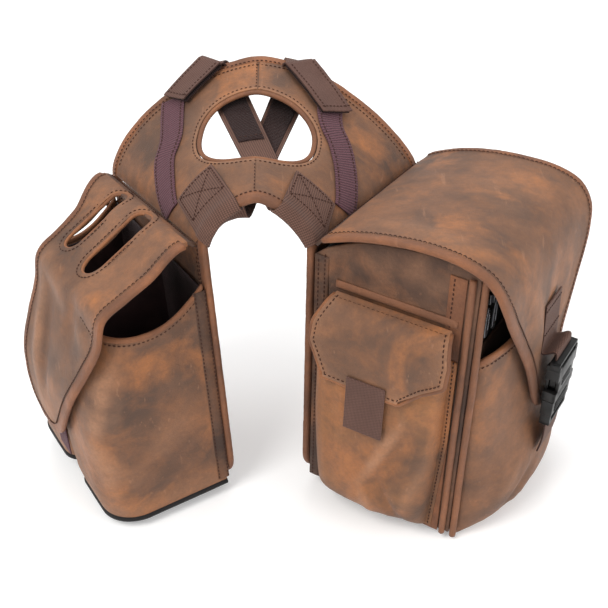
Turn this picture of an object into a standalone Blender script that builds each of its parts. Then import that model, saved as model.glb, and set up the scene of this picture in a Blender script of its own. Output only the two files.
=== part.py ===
"""Saddle horn bag: a leather yoke with a hole for the horn, and a bag hanging at each side.

Metres, +Z up.  The origin is the middle of the horn hole.  +Y points towards the horse's head
side of the yoke's wide edge, the bottle bag hangs at -X and the main bag hangs at +X.
Each bag has a frame of its own: X across the bag, Y along its fold line, Z up.
"""
import math

import bmesh
import bpy
from mathutils import Vector

# Yoke: a saddle-shaped sheet between two folds, from which the bags hang
FOLD_NEAR = 0.046          # half distance between the folds at the narrow edge
FOLD_FAR = 0.143           # half distance between the folds at the wide edge
FOLD_RUN = 0.162           # how far the wide edge lies behind the narrow one, at the folds
FOLD_DROP = 0.014          # the folds' far ends hang lower
RISE_NEAR = 0.040          # height of the crown over the folds, narrow edge
RISE_FAR = 0.100           # the same at the wide edge
RECESS_NEAR = 0.012        # the narrow edge curves back at the crown
BULGE_FAR = 0.033          # the wide edge curves out at the crown
ROUND_LEFT, ROUND_RIGHT = 1.7, 1.4
SEAM_AT = 0.965            # the yoke stops just short of the folds
MIDDLE_SEAM = 0.008        # half the gap of the seam down its middle, as a share of its half width
YOKE_EDGES = (0.021, 0.979)     # it starts and stops inside its bound edges
ORIGIN = Vector((0.0, 0.105, 0.062))     # horn hole's middle, seen from between the near folds
LEATHER = 0.0024           # one layer
LAYER_GAP = 0.0003         # between pieces that touch
PIPE = 0.0032              # radius of the bound edges

# Horn hole, in plan
HOLE_HALF_WIDTH = 0.051
HOLE_HALF_DEPTH = 0.043
HOLE_TURN = math.radians(-9)
HOLE_POWER = 2.3
HOLE_CUT = (-0.02, 0.15)   # heights between which the hole is cut

# Bags
FOLD_LENGTH = math.hypot(FOLD_FAR - FOLD_NEAR, FOLD_RUN)
FOLD_TURN = math.atan2(FOLD_FAR - FOLD_NEAR, FOLD_RUN)
LEFT_TILT, RIGHT_TILT = math.radians(1.3), math.radians(3.5)
BAG_HEIGHT = 0.257
PANEL_THICK = 0.005
PANEL_CORNER = 0.026
PANEL_DROP = 0.0025        # the panels start below the folds
WEB_WIDTH = 0.038
WEB_THICK = 0.0016
BAG_DEPTH = 0.147          # main bag, back panel to front seam
GUSSET_THICK = 0.003
FLAP_THICK = 0.004
FLAP_PIPE = 0.0028

# Side-release buckle on the main flap
BUCKLE_X, BUCKLE_ALONG = 0.1945, 0.094
BUCKLE_TOP, BUCKLE_JOIN, BUCKLE_END = -0.0905, -0.1325, -0.160
BUCKLE_STRAP = 0.018       # half width of its straps
STRAP_ALONG = (BUCKLE_ALONG - BUCKLE_STRAP, BUCKLE_ALONG, BUCKLE_ALONG + BUCKLE_STRAP)

BROWN = (0.205, 0.115, 0.068)
TAN = (0.30, 0.155, 0.085)
WEB = (0.155, 0.095, 0.085)
LOOP = (0.115, 0.06, 0.07)
DARK = (0.035, 0.025, 0.025)
BLACK = (0.012, 0.012, 0.013)
METAL = (0.16, 0.16, 0.17)


def clear_scene():
    for item in list(bpy.data.objects):
        bpy.data.objects.remove(item, do_unlink=True)


def make_collection(name):
    group = bpy.data.collections.new(name)
    bpy.context.scene.collection.children.link(group)
    return group


def make_material(name, colour, roughness=0.7, metallic=0.0):
    found = bpy.data.materials.get(name)
    if found:
        return found
    made = bpy.data.materials.new(name)
    made.use_nodes = True
    shader = made.node_tree.nodes["Principled BSDF"]
    shader.inputs["Base Color"].default_value = (*colour, 1.0)
    shader.inputs["Roughness"].default_value = roughness
    shader.inputs["Metallic"].default_value = metallic
    return made


def leather():
    return make_material("leather", BROWN, 0.75)


def binding():
    return make_material("binding", TAN, 0.6)


def webbing():
    return make_material("webbing", WEB, 0.85)


def loop_tape():
    return make_material("loop_tape", LOOP, 0.95)


def lining():
    return make_material("lining", DARK, 0.8)


def black_nylon():
    return make_material("black_nylon", BLACK, 0.6)


def buckle_plastic():
    return make_material("buckle_plastic", BLACK, 0.35)


def zinc():
    return make_material("zinc", METAL, 0.35, 0.9)


def place(name, data, finish, parent, at=(0, 0, 0), turn=(0, 0, 0)):
    made = bpy.data.objects.new(name, data)
    PARTS.objects.link(made)
    data.materials.append(finish)
    made.parent = parent
    made.location = at
    made.rotation_euler = turn
    return made


def frame_empty(name, parent, at, turn=(0, 0, 0)):
    made = bpy.data.objects.new(name, None)
    PARTS.objects.link(made)
    made.parent = parent
    made.location = at
    made.rotation_euler = turn
    return made


def smooth(keys, steps):
    """Points on a smooth curve through the keys, with the same number of steps between each pair."""
    ends = [2 * Vector(keys[0]) - Vector(keys[1])]
    ends += [Vector(key) for key in keys]
    ends.append(2 * Vector(keys[-1]) - Vector(keys[-2]))
    points = []
    for a, b, c, d in zip(ends, ends[1:], ends[2:], ends[3:]):
        for step in range(steps):
            t = step / steps
            bend = (2 * a - 5 * b + 4 * c - d) * t + (3 * b - a - 3 * c + d) * t * t
            points.append(b + 0.5 * t * ((c - a) + bend))
    points.append(ends[-2])
    return points


def mix(low, high, t):
    return low + (high - low) * t


def sheet(name, rows, thickness, finish, parent, pivot=(0, 0, 0)):
    """A shell around the middle surface that the rows of points describe."""
    pivot = Vector(pivot)
    mesh = bpy.data.meshes.new(name)
    form = bmesh.new()
    grid = [[form.verts.new(Vector(p) - pivot) for p in row] for row in rows]
    for low, high in zip(grid, grid[1:]):
        for a, b, c, d in zip(low, low[1:], high[1:], high):
            form.faces.new((a, b, c, d))
    form.to_mesh(mesh)
    form.free()
    made = place(name, mesh, finish, parent, pivot)
    shell = made.modifiers.new("thickness", "SOLIDIFY")
    shell.thickness = thickness
    shell.offset = 0.0
    mesh.shade_smooth()
    return made


def tube(name, points, radius, finish, parent, closed=False, pivot=(0, 0, 0), sides=2):
    pivot = Vector(pivot)
    curve = bpy.data.curves.new(name, "CURVE")
    curve.dimensions = "3D"
    curve.bevel_depth = radius
    curve.bevel_resolution = sides
    curve.use_fill_caps = not closed
    curve.resolution_u = 1
    spline = curve.splines.new("POLY")
    spline.points.add(len(points) - 1)
    for spot, point in zip(spline.points, points):
        spot.co = (*(Vector(point) - pivot), 1.0)
    spline.use_cyclic_u = closed
    return place(name, curve, finish, parent, pivot)


def plate(name, outline, thickness, finish, parent, at, turn):
    """A flat piece cut to an outline, its middle plane at the given place."""
    curve = bpy.data.curves.new(name, "CURVE")
    curve.dimensions = "2D"
    curve.fill_mode = "BOTH"
    curve.extrude = thickness / 2
    curve.resolution_u = 1
    spline = curve.splines.new("POLY")
    spline.points.add(len(outline) - 1)
    for spot, (u, v) in zip(spline.points, outline):
        spot.co = (u, v, 0.0, 1.0)
    spline.use_cyclic_u = True
    return place(name, curve, finish, parent, at, turn)


ACROSS_X = (math.radians(90), 0, math.radians(90))    # outline in the bag's Y and Z
ACROSS_Y = (math.radians(90), 0, 0)                   # outline in the bag's X and Z


def block(name, low, high, finish, parent, pivot=(0, 0, 0), rounding=0.0):
    low, high, pivot = Vector(low), Vector(high), Vector(pivot)
    mesh = bpy.data.meshes.new(name)
    form = bmesh.new()
    bmesh.ops.create_cube(form, size=1.0)
    for vert in form.verts:
        vert.co = (low + high) / 2 + vert.co * (high - low) - pivot
    form.to_mesh(mesh)
    form.free()
    made = place(name, mesh, finish, parent, pivot)
    if rounding:
        bevel = made.modifiers.new("rounding", "BEVEL")
        bevel.width = rounding
        bevel.segments = 2
    return made


def cutter(name, data_object):
    data_object.name = name
    PARTS.objects.unlink(data_object)
    CUTTERS.objects.link(data_object)
    data_object.hide_render = True
    data_object.display_type = "WIRE"
    return data_object


def cut(target, tool):
    boolean = target.modifiers.new("cut_" + tool.name, "BOOLEAN")
    boolean.operation = "DIFFERENCE"
    boolean.object = tool
    boolean.solver = "EXACT"


def corner(centre, radius, start, stop, steps=5):
    """Points on an arc, angles in degrees."""
    points = []
    for step in range(steps + 1):
        angle = math.radians(mix(start, stop, step / steps))
        points.append((centre[0] + radius * math.cos(angle), centre[1] + radius * math.sin(angle)))
    return points


def prism(outline, low, high, parent, turn=(0, 0, 0), at=(0, 0, 0)):
    """A straight-sided solid over an outline, used for cutting."""
    mesh = bpy.data.meshes.new("prism")
    form = bmesh.new()
    base = form.faces.new([form.verts.new((u, v, low)) for u, v in outline])
    side = bmesh.ops.extrude_face_region(form, geom=[base])
    tops = [item for item in side["geom"] if isinstance(item, bmesh.types.BMVert)]
    bmesh.ops.translate(form, verts=tops, vec=(0, 0, high - low))
    bmesh.ops.recalc_face_normals(form, faces=form.faces)
    form.to_mesh(mesh)
    form.free()
    return place("prism", mesh, lining(), parent, at, turn)


# The yoke's surface -----------------------------------------------------------------------

def arch(s, half, rise, y, bulge, z):
    power = mix(ROUND_LEFT, ROUND_RIGHT, 0.5 + 0.5 * math.sin(s * math.pi / 2))
    angle = abs(s) * math.pi / 2
    x = math.copysign(half * math.sin(angle) ** (2 / power), s)
    height = rise * max(0.0, math.cos(angle)) ** (2 / power)
    return Vector((x, y + bulge * (1 - (x / half) ** 2), z + height))


def yoke_surface(s, t):
    near = arch(s, FOLD_NEAR, RISE_NEAR, 0.0, RECESS_NEAR, 0.0)
    far = arch(s, FOLD_FAR, RISE_FAR, FOLD_RUN, BULGE_FAR, -FOLD_DROP)
    return near.lerp(far, t)


def yoke_normal(s, t):
    s = max(-0.97, min(0.97, s))
    across = yoke_surface(s + 0.01, t) - yoke_surface(s - 0.01, t)
    along = yoke_surface(s, t + 0.01) - yoke_surface(s, t - 0.01)
    return across.cross(along).normalized()


def on_yoke(s, t, lift=0.0):
    """A point over the yoke's outer surface; a negative lift lies inside the leather."""
    return yoke_surface(s, t) + yoke_normal(s, t) * lift


def hole_outline(grow, count=40):
    points = []
    for step in range(count):
        angle = 2 * math.pi * step / count
        wide = math.copysign(abs(math.cos(angle)) ** (2 / HOLE_POWER), math.cos(angle))
        deep = math.copysign(abs(math.sin(angle)) ** (2 / HOLE_POWER), math.sin(angle))
        x = (HOLE_HALF_WIDTH + grow) * wide
        y = (HOLE_HALF_DEPTH + grow) * deep
        points.append((x * math.cos(HOLE_TURN) - y * math.sin(HOLE_TURN) + ORIGIN.x - 0.001,
                       x * math.sin(HOLE_TURN) + y * math.cos(HOLE_TURN) + ORIGIN.y - 0.001))
    return points


def yoke_at(x, y, lift):
    """The point of the yoke that lies at x, y in plan."""
    s, t = x / 0.11, 0.5
    for _ in range(30):
        here = on_yoke(s, t, lift)
        ds = (on_yoke(s + 0.002, t, lift) - here) / 0.002
        dt = (on_yoke(s, t + 0.002, lift) - here) / 0.002
        size = ds.x * dt.y - ds.y * dt.x
        miss_x, miss_y = x - here.x, y - here.y
        s += 0.7 * (miss_x * dt.y - miss_y * dt.x) / size
        t += 0.7 * (ds.x * miss_y - ds.y * miss_x) / size
        s = max(-0.9, min(0.9, s))
    return on_yoke(s, t, lift)


def yoke_rows(s_range, t_range, lift, columns, rows):
    made = []
    for row in range(rows + 1):
        t = mix(*t_range, row / rows)
        made.append([on_yoke(mix(*s_range, column / columns), t, lift)
                     for column in range(columns + 1)])
    return made


def build_yoke(home):
    hole = cutter("horn_hole_cutter", prism(hole_outline(PIPE + 2 * LAYER_GAP), *HOLE_CUT, home))
    half = {"left": (-SEAM_AT, -MIDDLE_SEAM), "right": (MIDDLE_SEAM, SEAM_AT)}
    for side, reach in half.items():
        rows = yoke_rows(reach, YOKE_EDGES, -LEATHER / 2, 16, 12)
        cut(sheet("yoke_leather_" + side, rows, LEATHER, leather(), home), hole)
    rows = yoke_rows((-SEAM_AT, SEAM_AT), YOKE_EDGES, -1.5 * LEATHER - 2 * LAYER_GAP, 26, 12)
    cut(sheet("yoke_lining", rows, LEATHER, lining(), home), hole)
    ring = [yoke_at(x, y, -LEATHER - LAYER_GAP / 2) for x, y in hole_outline(0.0)]
    tube("horn_hole_binding", ring, PIPE, binding(), home, closed=True)


LOOP_LEFT = ((-0.44, 0.93), (-0.525, 0.69), (-0.63, 0.585), (-0.72, 0.47), (-0.86, 0.32))
LOOP_RIGHT = ((0.40, 0.90), (0.45, 0.71), (0.55, 0.60), (0.717, 0.42), (0.86, 0.30))
LOOP_WIDTH = 0.025
TAPE_THICK = 0.0011
STRIP_LIFT = 0.0014         # middle of what is sewn on the yoke, over its flat facets


def yoke_ribbon(keys, lift, width, steps=4):
    """Rows of a strip that lies on the yoke along its keys."""
    path = smooth([(s, t, 0) for s, t in keys], steps)
    centres = [on_yoke(p.x, p.y, lift) for p in path]
    rows = []
    for index, spot in enumerate(centres):
        ahead = centres[min(index + 1, len(centres) - 1)] - centres[max(index - 1, 0)]
        normal = yoke_normal(path[index].x, path[index].y)
        side = normal.cross(ahead).normalized()
        row = []
        for reach in (-0.5, 0.0, 0.5):
            aim = spot + side * (width * reach)
            row.append(drop_on_yoke(aim, path[index].x, path[index].y, lift))
        rows.append(row)
    return rows


def drop_on_yoke(aim, s, t, lift):
    """The point over the yoke that lies closest to the aim."""
    for _ in range(12):
        here = on_yoke(s, t, lift)
        ds = (on_yoke(s + 0.002, t, lift) - here) / 0.002
        dt = (on_yoke(s, t + 0.002, lift) - here) / 0.002
        miss = aim - here
        s += 0.6 * miss.dot(ds) / ds.dot(ds)
        t += 0.6 * miss.dot(dt) / dt.dot(dt)
        s = max(-0.97, min(0.97, s))
    return on_yoke(s, t, lift)


def build_loop_strips(home):
    for side, keys in (("left", LOOP_LEFT), ("right", LOOP_RIGHT)):
        rows = yoke_ribbon(keys, STRIP_LIFT, LOOP_WIDTH)
        sheet("loop_strip_" + side, rows, TAPE_THICK, loop_tape(), home)


# Straps under the yoke: each is sewn on at the narrow edge and goes over the wide edge ------

# in plan, with the depth of the long run's ends under the yoke's outer surface
STRAP_LEFT = {"patch": ((-0.052, 0.058), (-0.034, 0.017)), "run": ((-0.027, 0.017), (0.036, 0.184)),
              "depth": -0.0198}
STRAP_RIGHT = {"patch": ((0.048, 0.050), (0.038, 0.015)), "run": ((0.029, 0.017), (-0.038, 0.187)),
               "depth": -0.0090}
TAB_LEFT = ((-0.043, 0.197), (-0.074, 0.166))
TAB_RIGHT = ((0.036, 0.190), (0.067, 0.145))
TAB_HALF = 0.015
PATCH_LIFT = 0.0022         # sewn patches over the yoke
HOOK_LIFT, HOOK_THICK = 0.0042, 0.0014
TAB_LIFT, TAB_THICK = 0.0066, 0.0018
TAB_HINGE_LIFT = 0.006


def level_sides(centres):
    sides = []
    for index in range(len(centres)):
        ahead = centres[min(index + 1, len(centres) - 1)] - centres[max(index - 1, 0)]
        sides.append(Vector((ahead.y, -ahead.x, 0)).normalized())
    return sides


def build_patches(home):
    """The sewn ends of the straps, on the outside of the yoke and round its narrow edge."""
    for side, plan in (("left", STRAP_LEFT), ("right", STRAP_RIGHT)):
        outer, inner = plan["patch"]
        rows = []
        for step in range(7):
            reach = step / 6
            x, y = mix(outer[0], inner[0], reach), mix(outer[1], inner[1], reach)
            spot = yoke_at(x, y, 0.0)
            ahead = Vector((inner[0] - outer[0], inner[1] - outer[1]))
            cross = Vector((ahead.y, -ahead.x)).normalized() * (WEB_WIDTH / 2)
            low = yoke_near(spot, cross, -0.85)
            high = yoke_near(spot, cross, 0.85)
            rows.append([low, yoke_at(x, y, PATCH_LIFT), high])
        sheet("strap_patch_" + side, rows, WEB_THICK, webbing(), home)


def yoke_near(spot, cross, reach):
    return yoke_at(spot.x + cross.x * reach, spot.y + cross.y * reach, PATCH_LIFT)


def yoke_cross(spot, ahead, width, lift):
    """Three points across a strap that follows the yoke's curve."""
    side = Vector((ahead.y, -ahead.x)).normalized() * (width / 2)
    return [yoke_at(spot[0] + side.x * reach, spot[1] + side.y * reach, lift)
            for reach in (-0.86, 0.0, 0.86)]


def build_straps(home):
    """The long runs, straight under the yoke; the left one passes under the other."""
    for side, plan in (("left", STRAP_LEFT), ("right", STRAP_RIGHT)):
        near, far = plan["run"]
        ahead = Vector((far[0] - near[0], far[1] - near[1]))
        first = yoke_cross(near, ahead, WEB_WIDTH, plan["depth"])
        last = yoke_cross(far, ahead, WEB_WIDTH, plan["depth"])
        rows = [[a.lerp(b, step / 4) for a, b in zip(first, last)] for step in range(5)]
        sheet("fork_strap_" + side, rows, WEB_THICK, webbing(), home)


def build_strap_ends(home):
    """The free ends: folded over the wide edge and stuck down on the loop strips."""
    for side, (rim, end) in (("left", TAB_LEFT), ("right", TAB_RIGHT)):
        pivot = yoke_at(*rim, TAB_HINGE_LIFT)
        for name, lift, thick, finish in (("hook_pad_", HOOK_LIFT, HOOK_THICK, lining()),
                                          ("strap_end_", TAB_LIFT, TAB_THICK, webbing())):
            centres = [yoke_at(mix(rim[0], end[0], k / 6), mix(rim[1], end[1], k / 6), lift)
                       for k in range(7)]
            rows = []
            for spot, level in zip(centres, level_sides(centres)):
                low, high = (yoke_at(spot.x + level.x * reach, spot.y + level.y * reach, lift)
                             for reach in (-TAB_HALF, TAB_HALF))
                rows.append([low, spot, high])
            sheet(name + side, rows, thick, finish, home, pivot)


# Bound edges of the yoke and the back panels --------------------------------------------------

def panel_outline(gap):
    """Back panel in the bag's Y and Z, drawn in from the bound edge by the gap."""
    low, far, bottom = gap, FOLD_LENGTH - gap, -BAG_HEIGHT + gap
    radius = PANEL_CORNER - gap
    points = [(low, -PANEL_DROP)]
    points += corner((low + radius, bottom + radius), radius, 180, 270)
    points += corner((far - radius, bottom + radius), radius, 270, 360)
    points.append((far, -FOLD_DROP - PANEL_DROP))
    return points


def build_back_panels():
    for side, bag, sign in (("left", LEFT, 1), ("right", RIGHT, -1)):
        plate("back_panel_" + side, panel_outline(PIPE + 0.0004), PANEL_THICK, leather(), bag,
              (sign * PANEL_THICK / 2, 0, 0), ACROSS_X)


def bag_point(bag, x, y, z):
    return HOME.matrix_world.inverted() @ bag.matrix_world @ Vector((x, y, z))


def build_edges(home):
    """One strip of binding round each edge: down the panels' sides and over the yoke."""
    half = FOLD_LENGTH / 2
    for name, t, side in (("near", 0.0, -1), ("far", 1.0, 1)):
        drop = -FOLD_DROP * t
        down = corner((half + side * (half - PANEL_CORNER), -BAG_HEIGHT + PANEL_CORNER),
                      PANEL_CORNER, 270, 270 + side * 90, 4)
        down = [(half + side * 0.004, -BAG_HEIGHT)] + down
        down.append((half + side * half, -0.12))
        down.append((half + side * half, drop - 0.012))
        left = [bag_point(LEFT, PANEL_THICK / 2, y, z) for y, z in down]
        right = [bag_point(RIGHT, -PANEL_THICK / 2, y, z) for y, z in reversed(down)]
        over = [on_yoke(mix(-0.97, 0.97, k / 28), t, -PANEL_THICK / 2) for k in range(29)]
        tube(name + "_edge_binding", left + over + right, PIPE, binding(), home)


# Flaps ------------------------------------------------------------------------------------

class Bend:
    """A flap's curved surface: a profile across the bag, swept along the fold."""

    def __init__(self, keys, sign):
        self.line = smooth([(x, 0, z) for x, z in keys], 4)
        self.sign = sign
        self.reach = [0.0]
        for a, b in zip(self.line, self.line[1:]):
            self.reach.append(self.reach[-1] + (b - a).length)

    def at(self, run, along, lift=0.0):
        """The point at a distance along the profile, and along the fold, over the surface."""
        index = 0
        while index < len(self.line) - 2 and self.reach[index + 1] < run:
            index += 1
        a, b = self.line[index], self.line[index + 1]
        ahead = (b - a).normalized()
        spot = a + ahead * (run - self.reach[index]) + Vector((-ahead.z, 0, ahead.x)) * lift
        slope = FOLD_DROP * along / FOLD_LENGTH
        return Vector((self.sign * spot.x, along, spot.z - slope))


# across, height of the outer surface
LEFT_PROFILE = ((0.0095, 0.0085), (0.020, 0.009), (0.032, 0.004), (0.050, -0.008),
                (0.075, -0.020), (0.096, -0.032), (0.104, -0.060), (0.116, -0.092),
                (0.126, -0.122), (0.130, -0.155), (0.131, -0.192))
RIGHT_PROFILE = ((0.0095, 0.011), (0.016, 0.0165), (0.045, 0.028), (0.080, 0.035),
                 (0.115, 0.037), (0.140, 0.034), (0.158, 0.026), (0.170, 0.008),
                 (0.175, -0.018), (0.178, -0.060), (0.181, -0.100), (0.186, -0.148))
# distance along the profile from the hinge, near side, far side
LEFT_EDGES = ((0.0, 0.004, 0.184), (0.022, 0.001, 0.172), (0.045, 0.0, 0.158), (0.075, 0.0, 0.150),
              (0.100, 0.000, 0.146), (0.130, 0.004, 0.147), (0.160, 0.018, 0.149),
              (0.190, 0.036, 0.150), (0.215, 0.052, 0.149), (0.240, 0.070, 0.142),
              (0.256, 0.088, 0.128))
RIGHT_EDGES = ((0.0, -0.002, 0.190), (0.020, -0.006, 0.194), (0.100, -0.006, 0.194),
               (0.165, -0.006, 0.194), (0.195, 0.004, 0.184), (0.235, 0.032, 0.156),
               (0.265, 0.053, 0.135), (0.290, 0.068, 0.120), (0.312, 0.078, 0.110),
               (0.328, 0.088, 0.100))


def edge_curves(edges):
    path = smooth(edges, 3)
    return [(p.x, p.y, p.z) for p in path]


def offset_edge(edges, gap):
    """The flap's outline, moved out by the gap: down its near side and up its far side."""
    line = [Vector((run, near)) for run, near, _ in edges]
    line += [Vector((run, far)) for run, _, far in reversed(edges)]
    moved = []
    for index, spot in enumerate(line):
        ahead = line[min(index + 1, len(line) - 1)] - line[max(index - 1, 0)]
        moved.append(spot + Vector((ahead.y, -ahead.x)).normalized() * gap)
    return moved


def build_flap(name, bend, edges, parent, pivot, columns=12):
    edges = edge_curves(edges)
    rows = [[bend.at(run, mix(near, far, k / columns), -FLAP_THICK / 2)
             for k in range(columns + 1)] for run, near, far in edges]
    flap = sheet(name, rows, FLAP_THICK, leather(), parent, pivot)
    rim = offset_edge(edges, FLAP_PIPE + 0.0006)
    start = next(i for i, p in enumerate(rim) if p.x > 0.004)
    rim = [p for p in rim[start:] if p.x > 0.004]
    points = [bend.at(run, along, -FLAP_THICK / 2) for run, along in rim]
    tube(name + "_binding", points, FLAP_PIPE, binding(), parent, pivot=pivot)
    return flap


def build_flap_root(name, bend, keys, sides, parent):
    """The sewn strip that stays put, between the fold and the flap's bend line."""
    root = Bend(keys, bend.sign)
    rows = [[root.at(run, mix(*sides, k / 6), -ROOT_THICK / 2) for k in range(7)]
            for run in (0.0, root.reach[-1] / 2, root.reach[-1] - 0.0012)]
    sheet(name, rows, ROOT_THICK, leather(), parent)


NECK_SLOTS = ((0.055, 0.083, 0.082), (0.111, 0.133, 0.078))     # near side, far side, reach
SLOT_START = 0.012
LEFT_PIVOT, RIGHT_PIVOT = (-0.0095, 0.0, 0.0085), (0.0095, 0.0, 0.011)
ROOT_THICK = 0.003


def slot_outline(low, high, near, far):
    """A stadium-shaped slot that runs across the flap."""
    radius = (far - near) / 2
    middle = (near + far) / 2
    return corner((low + radius, middle), radius, 90, 270) + corner((high - radius, middle), radius, -90, 90)


def build_left_flap():
    bend = Bend(LEFT_PROFILE, -1)
    flap = build_flap("left_flap", bend, LEFT_EDGES, LEFT, LEFT_PIVOT)
    for near, far, reach in NECK_SLOTS:
        outline = [(-x, y) for x, y in slot_outline(SLOT_START, reach, near, far)]
        cut(flap, cutter("neck_slot_cutter", prism(outline, -0.04, 0.03, LEFT)))
    build_flap_root("left_flap_root", bend, ((0.0022, 0.0030), (0.0055, 0.0065), (0.0093, 0.0083)),
                    (0.004, 0.184), LEFT)
    rows = [[bend.at(run, along, -FLAP_THICK - 0.0011) for along in (0.086, 0.105, 0.124)]
            for run in (0.205, 0.222, 0.240)]
    sheet("left_hook_patch", rows, 0.0010, lining(), LEFT, LEFT_PIVOT)


def build_right_flap():
    bend = Bend(RIGHT_PROFILE, 1)
    build_flap("right_flap", bend, RIGHT_EDGES, RIGHT, RIGHT_PIVOT)
    build_flap_root("right_flap_root", bend, ((0.0022, 0.0030), (0.0055, 0.0075), (0.0093, 0.0108)),
                    (-0.002, 0.190), RIGHT)
    rows = []
    for run in (0.222, 0.245, 0.270):
        rows.append([bend.at(run, along, 0.0018) for along in STRAP_ALONG])
    rows.append([Vector((BUCKLE_X - 0.001, along, BUCKLE_TOP + 0.0015)) for along in STRAP_ALONG])
    sheet("upper_buckle_strap", rows, WEB_THICK, webbing(), RIGHT, RIGHT_PIVOT)


# Main bag ------------------------------------------------------------------------------------

GUSSET_TOP = ((0.0014, -0.008), (0.016, 0.004), (0.045, 0.018), (0.080, 0.025),
              (0.115, 0.027), (0.140, 0.024), (BAG_DEPTH - 0.0005, 0.019))
SEAM_X = BAG_DEPTH + 0.0028
POCKET_DEPTHS = ((-0.055, 0.0190), (-0.100, 0.0220), (-0.150, 0.0275), (-0.167, 0.0300),
                 (-0.200, 0.040), (-0.232, 0.040), (-0.252, 0.026), (-0.261, 0.004))


def between(keys, value):
    """The second number for a value, along keys in falling order of the first."""
    for (high, a), (low, b) in zip(keys, keys[1:]):
        if value >= low:
            return mix(a, b, min(1.0, (high - value) / (high - low)))
    return keys[-1][1]


def bulge(u, power):
    return max(0.0, 1 - abs(2 * u - 1) ** power) ** (1 / power)


def gusset_outline(drop):
    top = [(p.x, p.z - drop) for p in smooth([(x, 0, z) for x, z in GUSSET_TOP], 2)]
    return top + [(BAG_DEPTH - 0.0005, -BAG_HEIGHT), (0.0014, -BAG_HEIGHT)]


def build_main_bag():
    inner, outer = 0.0037, FOLD_LENGTH - 0.0037
    for side, y, drop, out in (("near", 0.0017, 0.0, -1), ("far", FOLD_LENGTH - 0.0017, FOLD_DROP, 1)):
        plate("gusset_" + side, gusset_outline(drop), GUSSET_THICK, leather(), RIGHT,
              (0, y, 0), ACROSS_Y)
        line = [(SEAM_X, y - out * 0.0008, z) for z in (0.020 - drop, -0.12, -BAG_HEIGHT - 0.003)]
        tube("seam_binding_" + side, line, 0.0026, binding(), RIGHT)
        line = [(BAG_DEPTH - 0.009, y + out * 0.0042, z) for z in (0.018 - drop, -0.12, -BAG_HEIGHT)]
        tube("gusset_piping_" + side, line, 0.0022, binding(), RIGHT)
    block("bottom_panel", (0.0014, inner, -BAG_HEIGHT), (BAG_DEPTH - 0.0005, outer, -0.2542),
          leather(), RIGHT)
    block("front_panel", (0.1442, inner, -0.2538), (0.1465, outer, -0.060), leather(), RIGHT)
    rows = []
    for z, depth in POCKET_DEPTHS:
        rows.append([(BAG_DEPTH + 0.0020 + depth * bulge(k / 16, 2.0) + 0.0006,
                      mix(0.0062, FOLD_LENGTH - 0.0062, k / 16), z) for k in range(17)])
    sheet("front_pocket", rows, GUSSET_THICK, leather(), RIGHT)


# Removable cool box inside the main bag

BOX_LOW = Vector((0.0055, 0.0062, -0.2535))
BOX_HIGH = Vector((0.1425, FOLD_LENGTH - 0.0062, -0.008))
BOX_WALL = 0.004
LID_SHORT = 0.0030         # the lid swings clear of the far gusset
LID_RISE = ((0.0, 0.0), (0.12, 0.010), (0.30, 0.019), (0.55, 0.024), (0.80, 0.023),
            (0.93, 0.014), (1.0, 0.0))


def slope_at(y):
    return FOLD_DROP * y / FOLD_LENGTH


def slant_top(made):
    """Lower the top of a block towards the far end, as the fold does."""
    for vert in made.data.vertices:
        if vert.co.z > -0.05:
            vert.co.z -= slope_at(vert.co.y)


def build_insert():
    wall = Vector((BOX_WALL, BOX_WALL, BOX_WALL))
    body = block("insert_body", BOX_LOW, BOX_HIGH, black_nylon(), RIGHT)
    slant_top(body)
    room = block("room", BOX_LOW + wall, BOX_HIGH - wall + Vector((0, 0, 0.05)), lining(), RIGHT)
    cut(body, cutter("insert_room_cutter", room))
    rows = []
    for column in range(13):
        u = column / 12
        rise = between([(-a, b) for a, b in LID_RISE], -u)
        row = []
        for step in range(11):
            y = mix(BOX_LOW.y, BOX_HIGH.y - LID_SHORT, step / 10)
            z = -0.0048 + rise * bulge(step / 10, 5) - slope_at(y)
            row.append((mix(BOX_LOW.x + 0.002, BOX_HIGH.x - 0.001, u), y, z))
        rows.append(row)
    sheet("insert_lid", rows, 0.003, black_nylon(), RIGHT, LID_PIVOT)
    build_zipper()


LID_PIVOT = (0.0070, 0.0, -0.0050)
ZIP_X = BOX_HIGH.x + 0.0010
ZIP_CORNER = 0.0015
SLIDERS = {"near": 0.016, "far": 0.032}


def build_zipper():
    low, high = 0.0052, FOLD_LENGTH - 0.0052
    path = [(0.030, low)]
    path += corner((ZIP_X - ZIP_CORNER, low + ZIP_CORNER), ZIP_CORNER, -90, 0, 3)
    path += corner((ZIP_X - ZIP_CORNER, high - ZIP_CORNER), ZIP_CORNER, 0, 90, 3)
    path += [(0.030, high)]
    rows = [[(x, y, z - slope_at(y)) for x, y in path] for z in (-0.0195, -0.0145, -0.0095)]
    sheet("zipper_tape", rows, 0.0010, black_nylon(), RIGHT)
    for side, y in SLIDERS.items():
        top = -0.0095 - slope_at(y)
        block("zipper_slider_" + side, (ZIP_X + 0.0010, y - 0.004, top - 0.0105),
              (ZIP_X + 0.0050, y + 0.004, top), zinc(), RIGHT, (0, 0, 0), 0.001)
        pull = [(-0.0022, -0.0015), (-0.0040, -0.010), (-0.0040, -0.030)]
        pull += corner((0, -0.030), 0.0040, 180, 360, 6)
        pull += [(0.0040, -0.010), (0.0022, -0.0015)]
        plate("zipper_pull_" + side, pull, 0.0014, zinc(), RIGHT,
              (ZIP_X + 0.0062, y, top - 0.003), ACROSS_X)


# Phone pocket on the near gusset

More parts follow.
